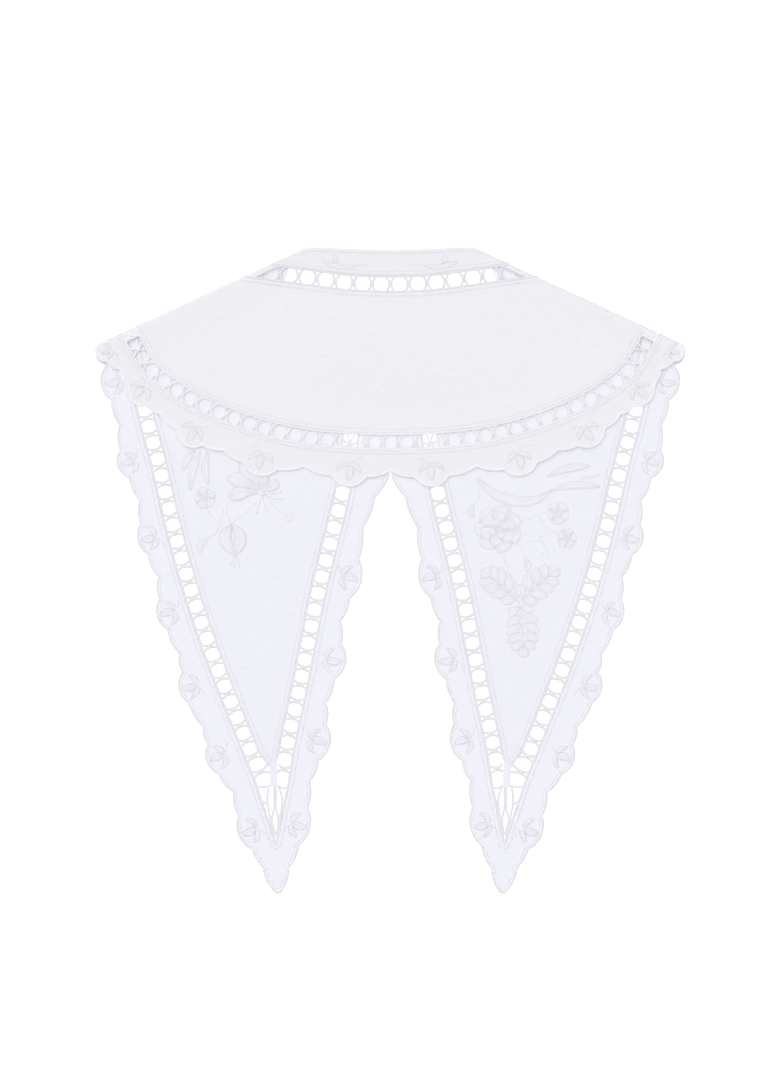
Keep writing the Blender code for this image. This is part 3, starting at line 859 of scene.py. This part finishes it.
# %% The back's openwork
neck_places = centred_places(neck_band, NECK_PITCH, True)
outer_places = centred_places(outer_band, BACK_PITCH, False)
for node, band, top, foot, places, kind, thread in (
    ("back_neck_openwork", neck_band, neck_top, neck_foot, neck_places, NECK_BARS, wrapped_thread),
    ("back_openwork", outer_band, outer_top, outer_foot, outer_places, BACK_BARS, back_bar_thread_painted_light),
):
    bars = Sewing(True)
    rail(bars, top, 1.0)
    rail(bars, foot, -1.0)
    bundles(bars, band, places, kind, (top, foot))
    bars.finish(node + "_bars", thread, "openwork_thread", [node])
    for side_name, way in (("left", 1), ("right", -1)):
        band_end(node, top[::way], foot[::way], BAND_END_LENGTH, True, side_name, border_lawn)


# %% [markdown]
# ## The fronts
# A front is the same five pieces, drawn once for the right side and mirrored for the left. A
# mirrored line is also reversed, so that a hem stays on the cloth's side of it.

# %% A front's lines, drawn for the right side
def neckline(radius, last_across, step=LINE_STEP):
    """Along a circle round the neck from the fold to its foot, then level to last_across."""
    line = inside_folds(arc(NECKLINE_MIDDLE, radius, math.radians(-40), math.radians(90)))
    return evenly(np.vstack([line, [(last_across, line[-1][1])]]), step)


def band_side(band, distance, down):
    """The line beside a front's band, from the fold as far as this down."""
    line = beside(band, distance)
    return between_folds(line[line[:, 1] < down])


BAND_END = INNER_BAND_TOP - BAND / 2
front_neck_edge = neckline(NECKLINE_RADIUS, CENTRE_GAP)
front_neck_edge[0] = fold_point(0)
front_neck_foot = neckline(NECK_BAND_RADIUS - BAND / 2, CENTRE_GAP)
front_band_top = neckline(NECK_BAND_RADIUS - BAND / 2, BAND_END)
front_band_foot = neckline(NECK_BAND_RADIUS + BAND / 2, BAND_END)
front_neck_band = neckline(NECK_BAND_RADIUS, BAND_END, 1.0)

front_outer_band = curve(FRONT_OUTER_BAND)
front_inner_band = curve(FRONT_INNER_BAND)
outer_panel_side = band_side(front_outer_band, BAND / 2, PANEL_POINT_STARTS)
outer_border_side = band_side(front_outer_band, -BAND / 2, BAND_POINT_STARTS)
inner_panel_side = band_side(front_inner_band, -BAND / 2, PANEL_POINT_STARTS)
inner_border_side = band_side(front_inner_band, BAND / 2, BAND_POINT_STARTS)

first_scallop = scallop(fold_point(SHOULDER), FRONT_SCALLOPS[0][:2], FOLD_SCALLOP, 1)
front_edge = np.vstack([first_scallop, scalloped(FRONT_SCALLOPS, LAST_CUSP, 1)])
neck_foot_down = front_neck_foot[-1][1]
front_plain_edge = [
    (CENTRE_GAP, PLAIN_EDGE_STARTS), (CENTRE_GAP, neck_foot_down), (BAND_END, neck_foot_down),
]
panel_hem_line = np.vstack([outer_panel_side, [PANEL_POINT], inner_panel_side[::-1]])
point_turn = soft_corner(inner_border_side[-1], BAND_POINT, outer_border_side[-1], 5.0)
border_hem_line = np.vstack([inner_border_side, point_turn, outer_border_side[::-1]])
print("a front's scalloped edge is", round(lengths(front_edge)[-1]), "mm long")

# %% Gaps and bundles of a front's bands
# The outer band's last gap is at its foot, and the inner band's pitch closes up from the top
total = lengths(front_outer_band)[-1]
outer_bundles = total - FRONT_PITCH * (np.arange(int(total / FRONT_PITCH)) + 0.5)
total = lengths(front_inner_band)[-1]
gaps, at = [], FIRST_INNER_GAP
while at < total - FRONT_PITCH:
    gaps.append(at)
    at += FRONT_PITCH + (TOP_PITCH - FRONT_PITCH) * max(0.0, 1 - at / TOP_PITCH_ENDS)
gaps = np.array([*gaps, total - LAST_INNER_GAP])
inner_bundles = (gaps[1:] + gaps[:-1]) / 2
print(len(outer_bundles) + len(inner_bundles), "bundles of bars go into a front")

# Bars below the panel's point, each a route of (across, down) spots
POINT_BARS = (
    ((94.4, 374.6), (89.6, 375.6), (84.9, 375.0)),
    ((70.6, 374.8), (74.6, 376.4), (78.4, 375.0)),
    (
        (84.6, 374.4), (85.9, 381.0), (85.8, 387.5), (84.2, 395.9), (83.2, 402.0), (81.4, 409.0),
        (80.4, 416.5),
    ),
    (
        (78.7, 374.4), (76.4, 380.0), (75.5, 386.8), (76.9, 395.0), (77.9, 401.0), (78.8, 408.0),
        (79.3, 416.5),
    ),
    (
        (81.3, 374.0), (81.2, 382.0), (81.2, 390.5), (82.4, 395.4), (82.9, 399.4), (81.6, 404.0),
        (80.3, 409.0),
    ),
    (
        (80.1, 374.0), (80.0, 382.0), (80.0, 390.5), (78.9, 395.0), (78.4, 399.0), (78.9, 404.0),
        (79.6, 409.0),
    ),
    ((91.6, 386.0), (88.6, 386.2), (85.8, 388.0)),
    ((73.4, 386.6), (74.6, 386.4), (75.6, 388.0)),
)
POINT_BAR_PROFILE = oval(1.4, BAR_HEIGHT, 0.0, 6)
PANEL_STEM = ((82.0, 357.0), (81.9, 362.0), (81.7, 368.0), (81.65, 375.6))
STEM_REACH = 2.3  # from the stem's middle to where bars meet it
STEM_PROFILE = np.array(
    ((-2.5, -0.55), (-2.45, 0.0), (-1.6, 0.28), (1.6, 0.28), (2.45, 0.0), (2.5, -0.55))
)
CLOSED_END = FRONT_GAPS_START - 4.0

# %% One front
def build_front(side_name, side):
    """All pieces of one front. Its lines are mirrored for side -1."""

    def turned(*lines):
        return [np.asarray(line, float) if side > 0 else mirrored(line)[::-1] for line in lines]

    def node(name):
        return f"front_{name}_{side_name}"

    def finish(work, name, material, slot, *replaced):
        work.finish(node(name), material, slot, [node(part) for part in replaced])

    neck_side = front_band_foot[front_band_foot[:, 0] > inner_panel_side[0][0] + 2]
    for name, parts, spacing, lawn_finish, slot, cut in (
        (
            "neck_border", [front_neck_edge, front_neck_foot[::-1]],
            2.2, front_border_lawn_painted_lavender, "border_cloth", (20.0, 145.0),
        ),
        (
            "panel", [neck_side, inner_panel_side, [PANEL_POINT], outer_panel_side[::-1]],
            2.2, front_lawn_painted_lavender, "panel_cloth", (155.0, 345.0),
        ),
        (
            "border", [front_edge, front_plain_edge, border_hem_line],
            1.6, front_border_lawn_painted_lavender, "border_cloth", (28.0, 800.0),
        ),
    ):
        outline = turned(np.vstack(parts))[0]
        cloth(node(name), outline, spacing, False, lawn_finish)

    hem_lines = turned(panel_hem_line, border_hem_line)
    hems = sewn(hem, turned(front_neck_edge[::-1], front_neck_foot), False)
    finish(hems, "neck_border_hems", front_border_lawn_painted_lavender, "border_cloth", "neck_border")
    hems = sewn(hem, [hem_lines[0], *turned(neck_side[::-1])], False)
    hems.sweep(*turned(curve(PANEL_STEM)), STEM_PROFILE)
    finish(hems, "panel_hems", front_lawn_painted_lavender, "panel_cloth", "panel")
    hems = sewn(hem, hem_lines[1:], False)
    finish(hems, "border_hem", front_border_lawn_painted_lavender, "border_cloth", "border")
    finish(sewn(hem_stitches, hem_lines, False), "hem_stitches", wrapped_thread, "openwork_thread")
    finish(sewn(groove, hem_lines, False), "hem_grooves", groove_shade_thread, "openwork_thread")

    bars = Sewing(False)
    for line in hem_lines:
        rail(bars, line, -1.0)
    stem = curve(PANEL_STEM)
    sides = hem_lines + turned(stem + (STEM_REACH, 0), stem - (STEM_REACH, 0))
    for band, places, nearest in (
        (front_outer_band, outer_bundles, CLOSED_END),
        (front_inner_band, inner_bundles, NEAREST_FOLD),
    ):
        places = places if side > 0 else lengths(band)[-1] - places
        bundles(bars, *turned(band), places, FRONT_BARS, sides, nearest)
    for route in POINT_BARS:
        line = evenly(curve(route), RING_STEP)
        bars.sweep(*turned(line), POINT_BAR_PROFILE, BAR_RISE, ribs(len(line), 0.1))
    finish(bars, "openwork_bars", wrapped_thread, "openwork_thread", "openwork")
    ends = [line[::int(side)] for line in turned(outer_panel_side, outer_border_side)]
    band_end(node("openwork"), *ends, CLOSED_END, False, "end", front_border_lawn_painted_lavender)

    bars = Sewing(False)
    sides = turned(front_band_top, front_band_foot)
    rail(bars, sides[0], -1.0)
    rail(bars, sides[1], 1.0)
    places = np.arange(NECK_PITCH / 2, lengths(front_neck_band)[-1], NECK_PITCH)
    bundles(bars, *turned(front_neck_band), places, NECK_BARS, sides)
    finish(bars, "neck_openwork_bars", wrapped_thread, "openwork_thread", "neck_openwork")
    ends = [line[::int(side)] for line in sides]
    band_end(node("neck_openwork"), *ends, BAND_END_LENGTH, False, "end", front_border_lawn_painted_lavender)


build_front("right", 1.0)
build_front("left", -1.0)

# %% [markdown]
# ## The scalloped edge
# The raw edge is covered with buttonhole stitches over a padding thread, so it ends in a firm
# ribbed cord, with a fine line of stitches inside it. The cord is an oval sweep, whose girth
# goes up and down from stitch to stitch.

# %% Edge cords
EDGE_PROFILE = oval(1.8, 0.92, -0.13)
EDGE_INSET = 0.7
EDGE_STEP = 0.42
INNER_LINE = 2.7  # from the edge to the fine line inside it
INNER_PROFILE = oval(0.55, 0.4, 0.05, 6)
for name, line, node, thread in (
    ("back_border_edge", back_edge[::-1], "back_border", edge_thread),
    ("front_border_edge_right", front_edge, "front_border_right", wrapped_thread),
    ("front_border_edge_left", mirrored(front_edge)[::-1], "front_border_left", wrapped_thread),
):
    work = Sewing(node == "back_border")
    route = beside(evenly(line, EDGE_STEP), EDGE_INSET)
    work.sweep(route, EDGE_PROFILE, 0.0, ribs(len(route), 0.07))
    work.sweep(evenly(beside(evenly(line, HEM_STEP), INNER_LINE), 0.8), INNER_PROFILE)
    work.finish(name, thread, "border_cloth", [node])


# %% [markdown]
# ## Embroidery
# The flowers and leaves are satin stitch over a padding of thread. Each one is a low cushion with
# a groove along its vein, and stem stitch runs round all but the smallest. A bump texture would
# not catch the light from the side, so every leaf is a small closed form that lies on the cloth.
# Three shapes make all the motifs: a padded blade, a cord and a knot.

# %% Blades, cords and knots
PAD_SHAPE = np.array((
    (0.0, -0.3), (-1.0, -0.2), (-0.94, 0.55), (-0.55, 1.0), (-0.14, 0.8), (0.0, 0.3),
    (0.14, 0.8), (0.55, 1.0), (0.94, 0.55), (1.0, -0.2),
))
CORD_WIDTH = 0.66
CORD_PROFILE = oval(CORD_WIDTH, 0.5, 0.06, 6)


def placed(points, spot, heading, size=1.0, flip=1.0):
    """Points given as (ahead, aside), scaled and brought to a spot with this heading."""
    ahead = np.array((math.cos(heading), math.sin(heading)))
    aside = np.array((-ahead[1], ahead[0])) * flip
    points = np.asarray(points, float) * size
    return np.asarray(spot, float) + points[:, :1] * ahead + points[:, 1:] * aside


def embroidery(upper, side=1.0):
    """Satin stitch on one face of the collar, with its outlines of stem stitch."""
    work = Sewing(upper, side)
    work.outlines = Sewing(upper, side)
    return work


def finish_embroidery(work, name):
    work.finish(name, satin_thread if work.upper else front_satin_painted_lavender, "openwork_thread")
    work.outlines.finish(name + "_outlines", stem_thread_painted_dark, "openwork_thread")


def cord(work, spots, rise=0.0, closed=False):
    """A line of stem stitch through a few spots."""
    line = np.asarray(spots, float) if closed else evenly(curve(spots, 0.5), 0.5)
    if work.side < 0:
        line = mirrored(line)[::-1]
    girth = 1.0 if closed else ribs(len(line), 0.12)
    work.outlines.sweep(line, CORD_PROFILE, rise, girth, closed)


def blade(work, spots, width, widest=0.38, height=0.32, base=0.0, outline=True):
    """A padded leaf or petal along a few spots, widest at this share of its length."""
    line = evenly(curve(spots, 0.5), 0.55)
    share = lengths(line) / lengths(line)[-1]
    full = np.sin(math.pi * share ** (math.log(0.5) / math.log(widest))).clip(0.0) ** 0.75
    half = np.maximum(0.08, width / 2 * full)
    left = sides_of(line)
    around = line[:, None] + left[:, None] * (half[:, None] * PAD_SHAPE[:, 0])[..., None]
    rise = base + height * np.minimum(1.0, full + 0.2)[:, None] * PAD_SHAPE[:, 1]
    rings = lay(around.reshape(-1, 2) * (work.side, 1.0), work.upper, rise.reshape(-1))
    rings = rings.reshape(len(line), len(PAD_SHAPE), 3)
    work.rings(rings[:, ::int(work.side)], lengths(line), np.abs(PAD_SHAPE[:, 0]) * width / 2)
    if outline:
        aside = left * (half + 0.25)[:, None]
        cord(work, np.vstack([line + aside, (line - aside)[::-1]]), base, closed=True)


def knot(work, spot, size=1.3, base=0.0):
    """A small round knot."""
    spot = np.asarray(spot, float)
    spots = (spot - (size / 2, 0), spot, spot + (size / 2, 0))
    blade(work, spots, size, 0.5, 0.45, base, outline=False)


# %% Motifs
def sprig(work, spot, heading, size, flip):
    """Three leaves on a bent stem with a few knots, for one scallop."""

    def at(*points):
        return placed(points, spot, heading, size, flip)

    cord(work, at((-7, 8), (-5, 3), (-1, 0.5), (2, 0)))
    blade(work, at((-1, 0), (4, 0.8), (9, -0.5)), 5.0 * size)
    blade(work, at((-3, 1), (-0.5, 5.5), (3.5, 8.5)), 3.4 * size)
    blade(work, at((-2.5, -0.5), (-1.5, -5), (2.5, -8.5)), 3.4 * size)
    for point in at((-6.4, 9.6), (-8.2, 7.4), (-5.3, 6.6)):
        knot(work, point, 1.3)


def blossom(work, spot, radius, turn, petals=5):
    """A small open flower round a ring of stem stitch."""
    for i in range(petals):
        heading = turn + 2 * math.pi * i / petals
        route = placed(((0.25, 0), (0.65, 0), (1.0, 0)), spot, heading, radius)
        blade(work, route, radius * 0.95, 0.6, 0.4)
    ring = round_points(np.linspace(0, 2 * math.pi, 16, endpoint=False), radius * 0.2)
    cord(work, spot + ring, 0.3, closed=True)
    knot(work, spot, radius * 0.2, 0.2)


def rose(work, spot, radius, turn=0.3):
    """A full flower: three rings of petals that overlap, about a curled middle."""
    for count, inner, outer, width, base in (
        (7, 0.5, 1.0, 0.74, 0.0), (6, 0.28, 0.72, 0.6, 0.22), (4, 0.08, 0.42, 0.4, 0.42),
    ):
        for i in range(count):
            heading = turn + 2 * math.pi * (i + base) / count
            petal = ((inner, -0.05), ((inner + outer) / 2, 0.04), (outer, 0))
            petal = placed(petal, spot, heading, radius)
            blade(work, petal, radius * width, 0.62, 0.4, base, outline=count > 4)
    turns = np.linspace(0, 3.4 * math.pi, 26)
    cord(work, spot + round_points(turns, radius * 0.2 * (0.15 + turns / 11)), 0.7)


def frond(work, spots, width, pairs=3, lean=0.55):
    """A leaf of rounded lobes in pairs along a vein, with one at its tip."""
    vein = curve(spots, 0.5)
    total = lengths(vein)[-1]
    pitch = total / (pairs + 1.2)
    cord(work, evenly(vein, 3.0), 0.25)
    for i in range(pairs):
        root, ahead = points_at(vein, pitch * (i + 0.45) + np.array((0.0, 0.5)))
        heading = math.atan2(*(ahead - root)[::-1])
        out = width / 2 * math.sin(math.pi * (0.3 + 0.55 * i / pairs))
        for flip in (-1.0, 1.0):
            lobe = placed(((0, 0.08), (lean * 0.45, 0.5), (lean, 1.0)), root, heading, out, flip)
            blade(work, lobe, pitch * 0.92, 0.52, 0.24)
    blade(work, points_at(vein, total - pitch * np.array((1.25, 0.6, 0.0))), pitch * 1.25, 0.55)


print("an outline cord is", CORD_WIDTH, "mm wide")

# %% [markdown]
# A sprig fills every deep scallop, with its main leaf towards the edge. It is mirrored from one
# scallop to the next, as a worker turns a pricked pattern over to keep a border lively.

# %% Sprigs in the scallops
SPRIG_CHORD = 23.0  # a scallop of this chord holds a sprig of full size
SPRIG_ROOT = 6.5  # from that chord in to the sprig's root


def scallop_sprigs(work, cusps, last, side):
    """A sprig inside each deep scallop of a table."""
    flip = 1.0
    ends = [row[:2] for row in cusps[1:]] + [last]
    for row, end in zip(cusps, ends):
        if row[2] > BIG_SCALLOP:
            start, end = np.array(row[:2], float), np.array(end, float)
            chord = math.dist(start, end)
            out = np.array((end[1] - start[1], start[0] - end[0])) * side / chord
            size = min(1.0, chord / SPRIG_CHORD)
            spot = (start + end) / 2 - out * SPRIG_ROOT * size
            sprig(work, spot, math.atan2(out[1], out[0]), size, flip)
            flip = -flip


for side_name, side in (("right", 1.0), ("left", -1.0)):
    work = embroidery(True, side)
    scallop_sprigs(work, BACK_SCALLOPS, fold_point(SHOULDER), -1)
    blade(work, ((47, 8), (36, 11.6), (24, 10.9)), 3.6, 0.45)
    blade(work, ((36.5, 9.0), (38.6, 6.5), (37.8, 3.2)), 3.0, 0.45)
    cord(work, ((24, 10.9), (19, 9.6), (14.5, 11.4)))
    knot(work, (13.6, 11.8))
    finish_embroidery(work, "back_sprigs_" + side_name)
    work = embroidery(False, side)
    scallop_sprigs(work, FRONT_SCALLOPS, LAST_CUSP, 1)
    finish_embroidery(work, "front_sprigs_" + side_name)


# %% [markdown]
# Each front's panel carries a loose spray. The right one hangs a full rose over three lobed
# leaves, and the left one is an open flower with a bud. They are placed by a few spots each, so a
# leaf can be moved without redrawing the rest.

# %% The right front's spray
work = embroidery(False)
HUB = (90, 246.3)
frond(work, (HUB, (92.5, 260), (93.3, 285)), 23, 5)
frond(work, (HUB, (101, 236), (118, 222)), 21, 4, 0.75)
frond(work, (HUB, (79, 236), (64, 223.5)), 20, 4, 0.95)
rose(work, np.array((75.7, 194.8)), 16.5)
for leaf, width, widest in (
    (((60.8, 159.3), (72, 169.8), (87.4, 175.4), (101, 175), (114, 167.7)), 7.0, 0.48),
    (((112, 167.8), (130, 164.2), (147, 165.2)), 5.0, 0.55),
    (((109.8, 158.2), (124, 152.8), (140, 150.9)), 5.0, 0.55),
):
    blade(work, leaf, width, widest)
blade(work, ((131, 159.9), (139, 158.6), (147, 157.0)), 2.4, 0.5, outline=False)
blossom(work, np.array((117.5, 183.8)), 8.0, 0.4)
blossom(work, np.array((123.8, 201.4)), 7.0, 1.1)
for stem in (
    ((78, 211), (84, 228), HUB),
    ((92, 189.5), (98.8, 187.1), (103.5, 184.8), (109, 183)),
    ((104, 186), (109, 193.6), (118, 199.6)),
    ((84.2, 176), (85, 181), (82.6, 185)),
    ((61.1, 161.7), (62.7, 171.9), (59.6, 177.1)),
    ((90.2, 206.9), (93.6, 212), (95.1, 218.8)),
    ((98, 204), (104, 203), (109, 207.5), (111, 214)),
):
    cord(work, stem)
for spot in ((99, 206.6), (102.4, 209.6), (106.4, 211.6), (111.6, 216), (105, 200), (114.4, 208.6)):
    knot(work, spot, 2.0)
blade(work, ((94.6, 216), (96.4, 220.4), (95.4, 225)), 4.0, 0.5)
blade(work, ((58.2, 178), (56.4, 182.6), (58, 187)), 4.0, 0.5)
finish_embroidery(work, "spray_right")

# %% The left front's spray
work = embroidery(False)
throat = np.array((-89.7, 169.8))
for across, down, width in (
    (-114.2, 158.6, 10.5), (-113.4, 172.4, 9.5), (-105.1, 148.2, 10.5), (-90.4, 152.5, 10.0),
    (-78.6, 161.0, 8.0),
):
    tip = np.array((across, down))
    foot = throat + (tip - throat) * 0.12
    middle = (throat + tip) / 2 + (tip - throat)[::-1] * (-0.06, 0.06)
    blade(work, (foot, middle, tip), width, 0.66, 0.65)
for across, down in ((-77, 169), (-76.4, 174.2), (-93.6, 183.4), (-86.6, 181.6)):
    tip = np.array((across, down))
    cord(work, (throat, (throat + tip) / 2 + (0, 1.2), tip), 0.3)
    knot(work, tip, 2.0)
knot(work, throat, 4.2, 0.45)
turns = np.linspace(0.0, 3.2 * math.pi, 28)
cord(work, np.array((-70.5, 186.5)) + round_points(turns, 0.6 + turns / 3.6))
for stem in (
    ((-93, 176), (-104, 186), (-111.4, 191.5)),
    ((-112.8, 173), (-114.2, 183.1), (-111.4, 190.8)),
    ((-116, 179.6), (-118.4, 188), (-121.2, 197.1), (-128.6, 202)),
    ((-86, 173.5), (-79, 181), (-73.6, 184.4)),
    ((-128.4, 180), (-124.4, 187), (-118.8, 190)),
):
    cord(work, stem)
blade(work, ((-111.4, 191.5), (-115.4, 202), (-109.4, 213)), 8.6, 0.5, 0.65)
blade(work, ((-110.4, 191.5), (-104.6, 201.5), (-107.6, 213)), 8.0, 0.5, 0.65)
for across, down in ((-112.6, 221.0), (-109.2, 223.6), (-105.4, 223.0), (-101.8, 220.4)):
    middle = ((-108.4 + across) / 2 - 0.3, 217)
    blade(work, ((-108.4, 212.6), middle, (across, down)), 1.9, 0.6, outline=False)
blossom(work, np.array((-129.6, 173.3)), 7.6, 0.7)
for leaf in (
    ((-136.6, 139.7), (-142, 146), (-145, 153.7)),
    ((-133.1, 141.1), (-138, 154), (-140.1, 167.7)),
    ((-128.2, 141.1), (-129.4, 153), (-127.5, 164.2)),
    ((-128.6, 202), (-132.6, 206.2), (-133.6, 212)),
):
    blade(work, leaf, 5.0, 0.5)
finish_embroidery(work, "spray_left")

# %% [markdown]
# ## The table and the light
# The floor glows a little, so that it stays as white as the photo's under the collar's gaps. A
# wide soft lamp shines from high up, beyond the neck and a little from the left, and draws the
# relief of the sewing. A fill lamp straight above reaches down through the back's openwork. Both
# are sun lamps, which light the whole collar evenly. A pale lavender sky fills the shadows.

# %% The floor
FLOOR_SIZE = 40.0
FLOOR_DEPTH = 0.1 * MM
FLOOR_GREY = 0.13
FLOOR_GLOW = 0.93
bpy.ops.mesh.primitive_plane_add(size=FLOOR_SIZE, location=(0.0, 0.0, -FLOOR_DEPTH))
floor = bpy.context.object
floor.name = "floor"
finish, tree, shader = new_finish("white table", (FLOOR_GREY,) * 3, 0.9, 0.0)
set_inputs(tree, shader, {"Emission Color": (1.0,) * 4, "Emission Strength": FLOOR_GLOW})
floor.data.materials.append(finish)

# %% The lamp and the sky
LAMP_FROM = Vector((-0.75, 1.0, 2.3))
LAMP_SPREAD = math.radians(60)
LAMP_STRENGTH = 0.95
FILL_FROM = Vector((0.0, 0.0, 2.5))
FILL_SPREAD = math.radians(10)
FILL_STRENGTH = 1.50
SKY_COLOUR = (0.962, 0.955, 1.0)
SKY_STRENGTH = 0.30


def new_lamp(name, place, spread, strength):
    """A sun lamp that shines from a place towards the collar."""
    lamp = bpy.data.lights.new(name, "SUN")
    lamp.angle = spread
    lamp.energy = strength
    stand = bpy.data.objects.new(name, lamp)
    stand.location = place
    stand.rotation_euler = (-place).to_track_quat("-Z", "Y").to_euler()
    bpy.context.scene.collection.objects.link(stand)


new_lamp("soft lamp", LAMP_FROM, LAMP_SPREAD, LAMP_STRENGTH)
new_lamp("fill lamp", FILL_FROM, FILL_SPREAD, FILL_STRENGTH)
world = bpy.data.worlds.new("pale sky")
world.use_nodes = True
background = world.node_tree.nodes["Background"]
values = {"Color": (*SKY_COLOUR, 1.0), "Strength": SKY_STRENGTH}
set_inputs(world.node_tree, background, values)
bpy.context.scene.world = world
bpy.context.scene.view_settings.view_transform = "Standard"

# %% [markdown]
# ## The camera
# The photo's frame is 1082 pixels high and each is 0.70 mm on the collar. A long lens from
# straight above keeps the view as flat as the photo's.

# %% Camera straight above
PIXEL = 0.70 * MM
PIXELS_WIDE = 773
PIXELS_HIGH = 1082
FRAME_HEIGHT = PIXELS_HIGH * PIXEL
LENS = 120.0
SENSOR = 36.0
CENTRE_LINE_PIXEL = 390.2
NECK_PIXEL = 250.5
camera_data = bpy.data.cameras.new("camera")
camera_data.lens = LENS
camera_data.sensor_width = SENSOR
camera = bpy.data.objects.new("camera", camera_data)
camera.location = (
    (PIXELS_WIDE / 2 - CENTRE_LINE_PIXEL) * PIXEL,
    NECK_Y * MM - (PIXELS_HIGH / 2 - NECK_PIXEL) * PIXEL,
    FRAME_HEIGHT * LENS / SENSOR,
)
bpy.context.scene.collection.objects.link(camera)
bpy.context.scene.camera = camera
print("the camera is", round(camera.location.z, 3), "metres up")
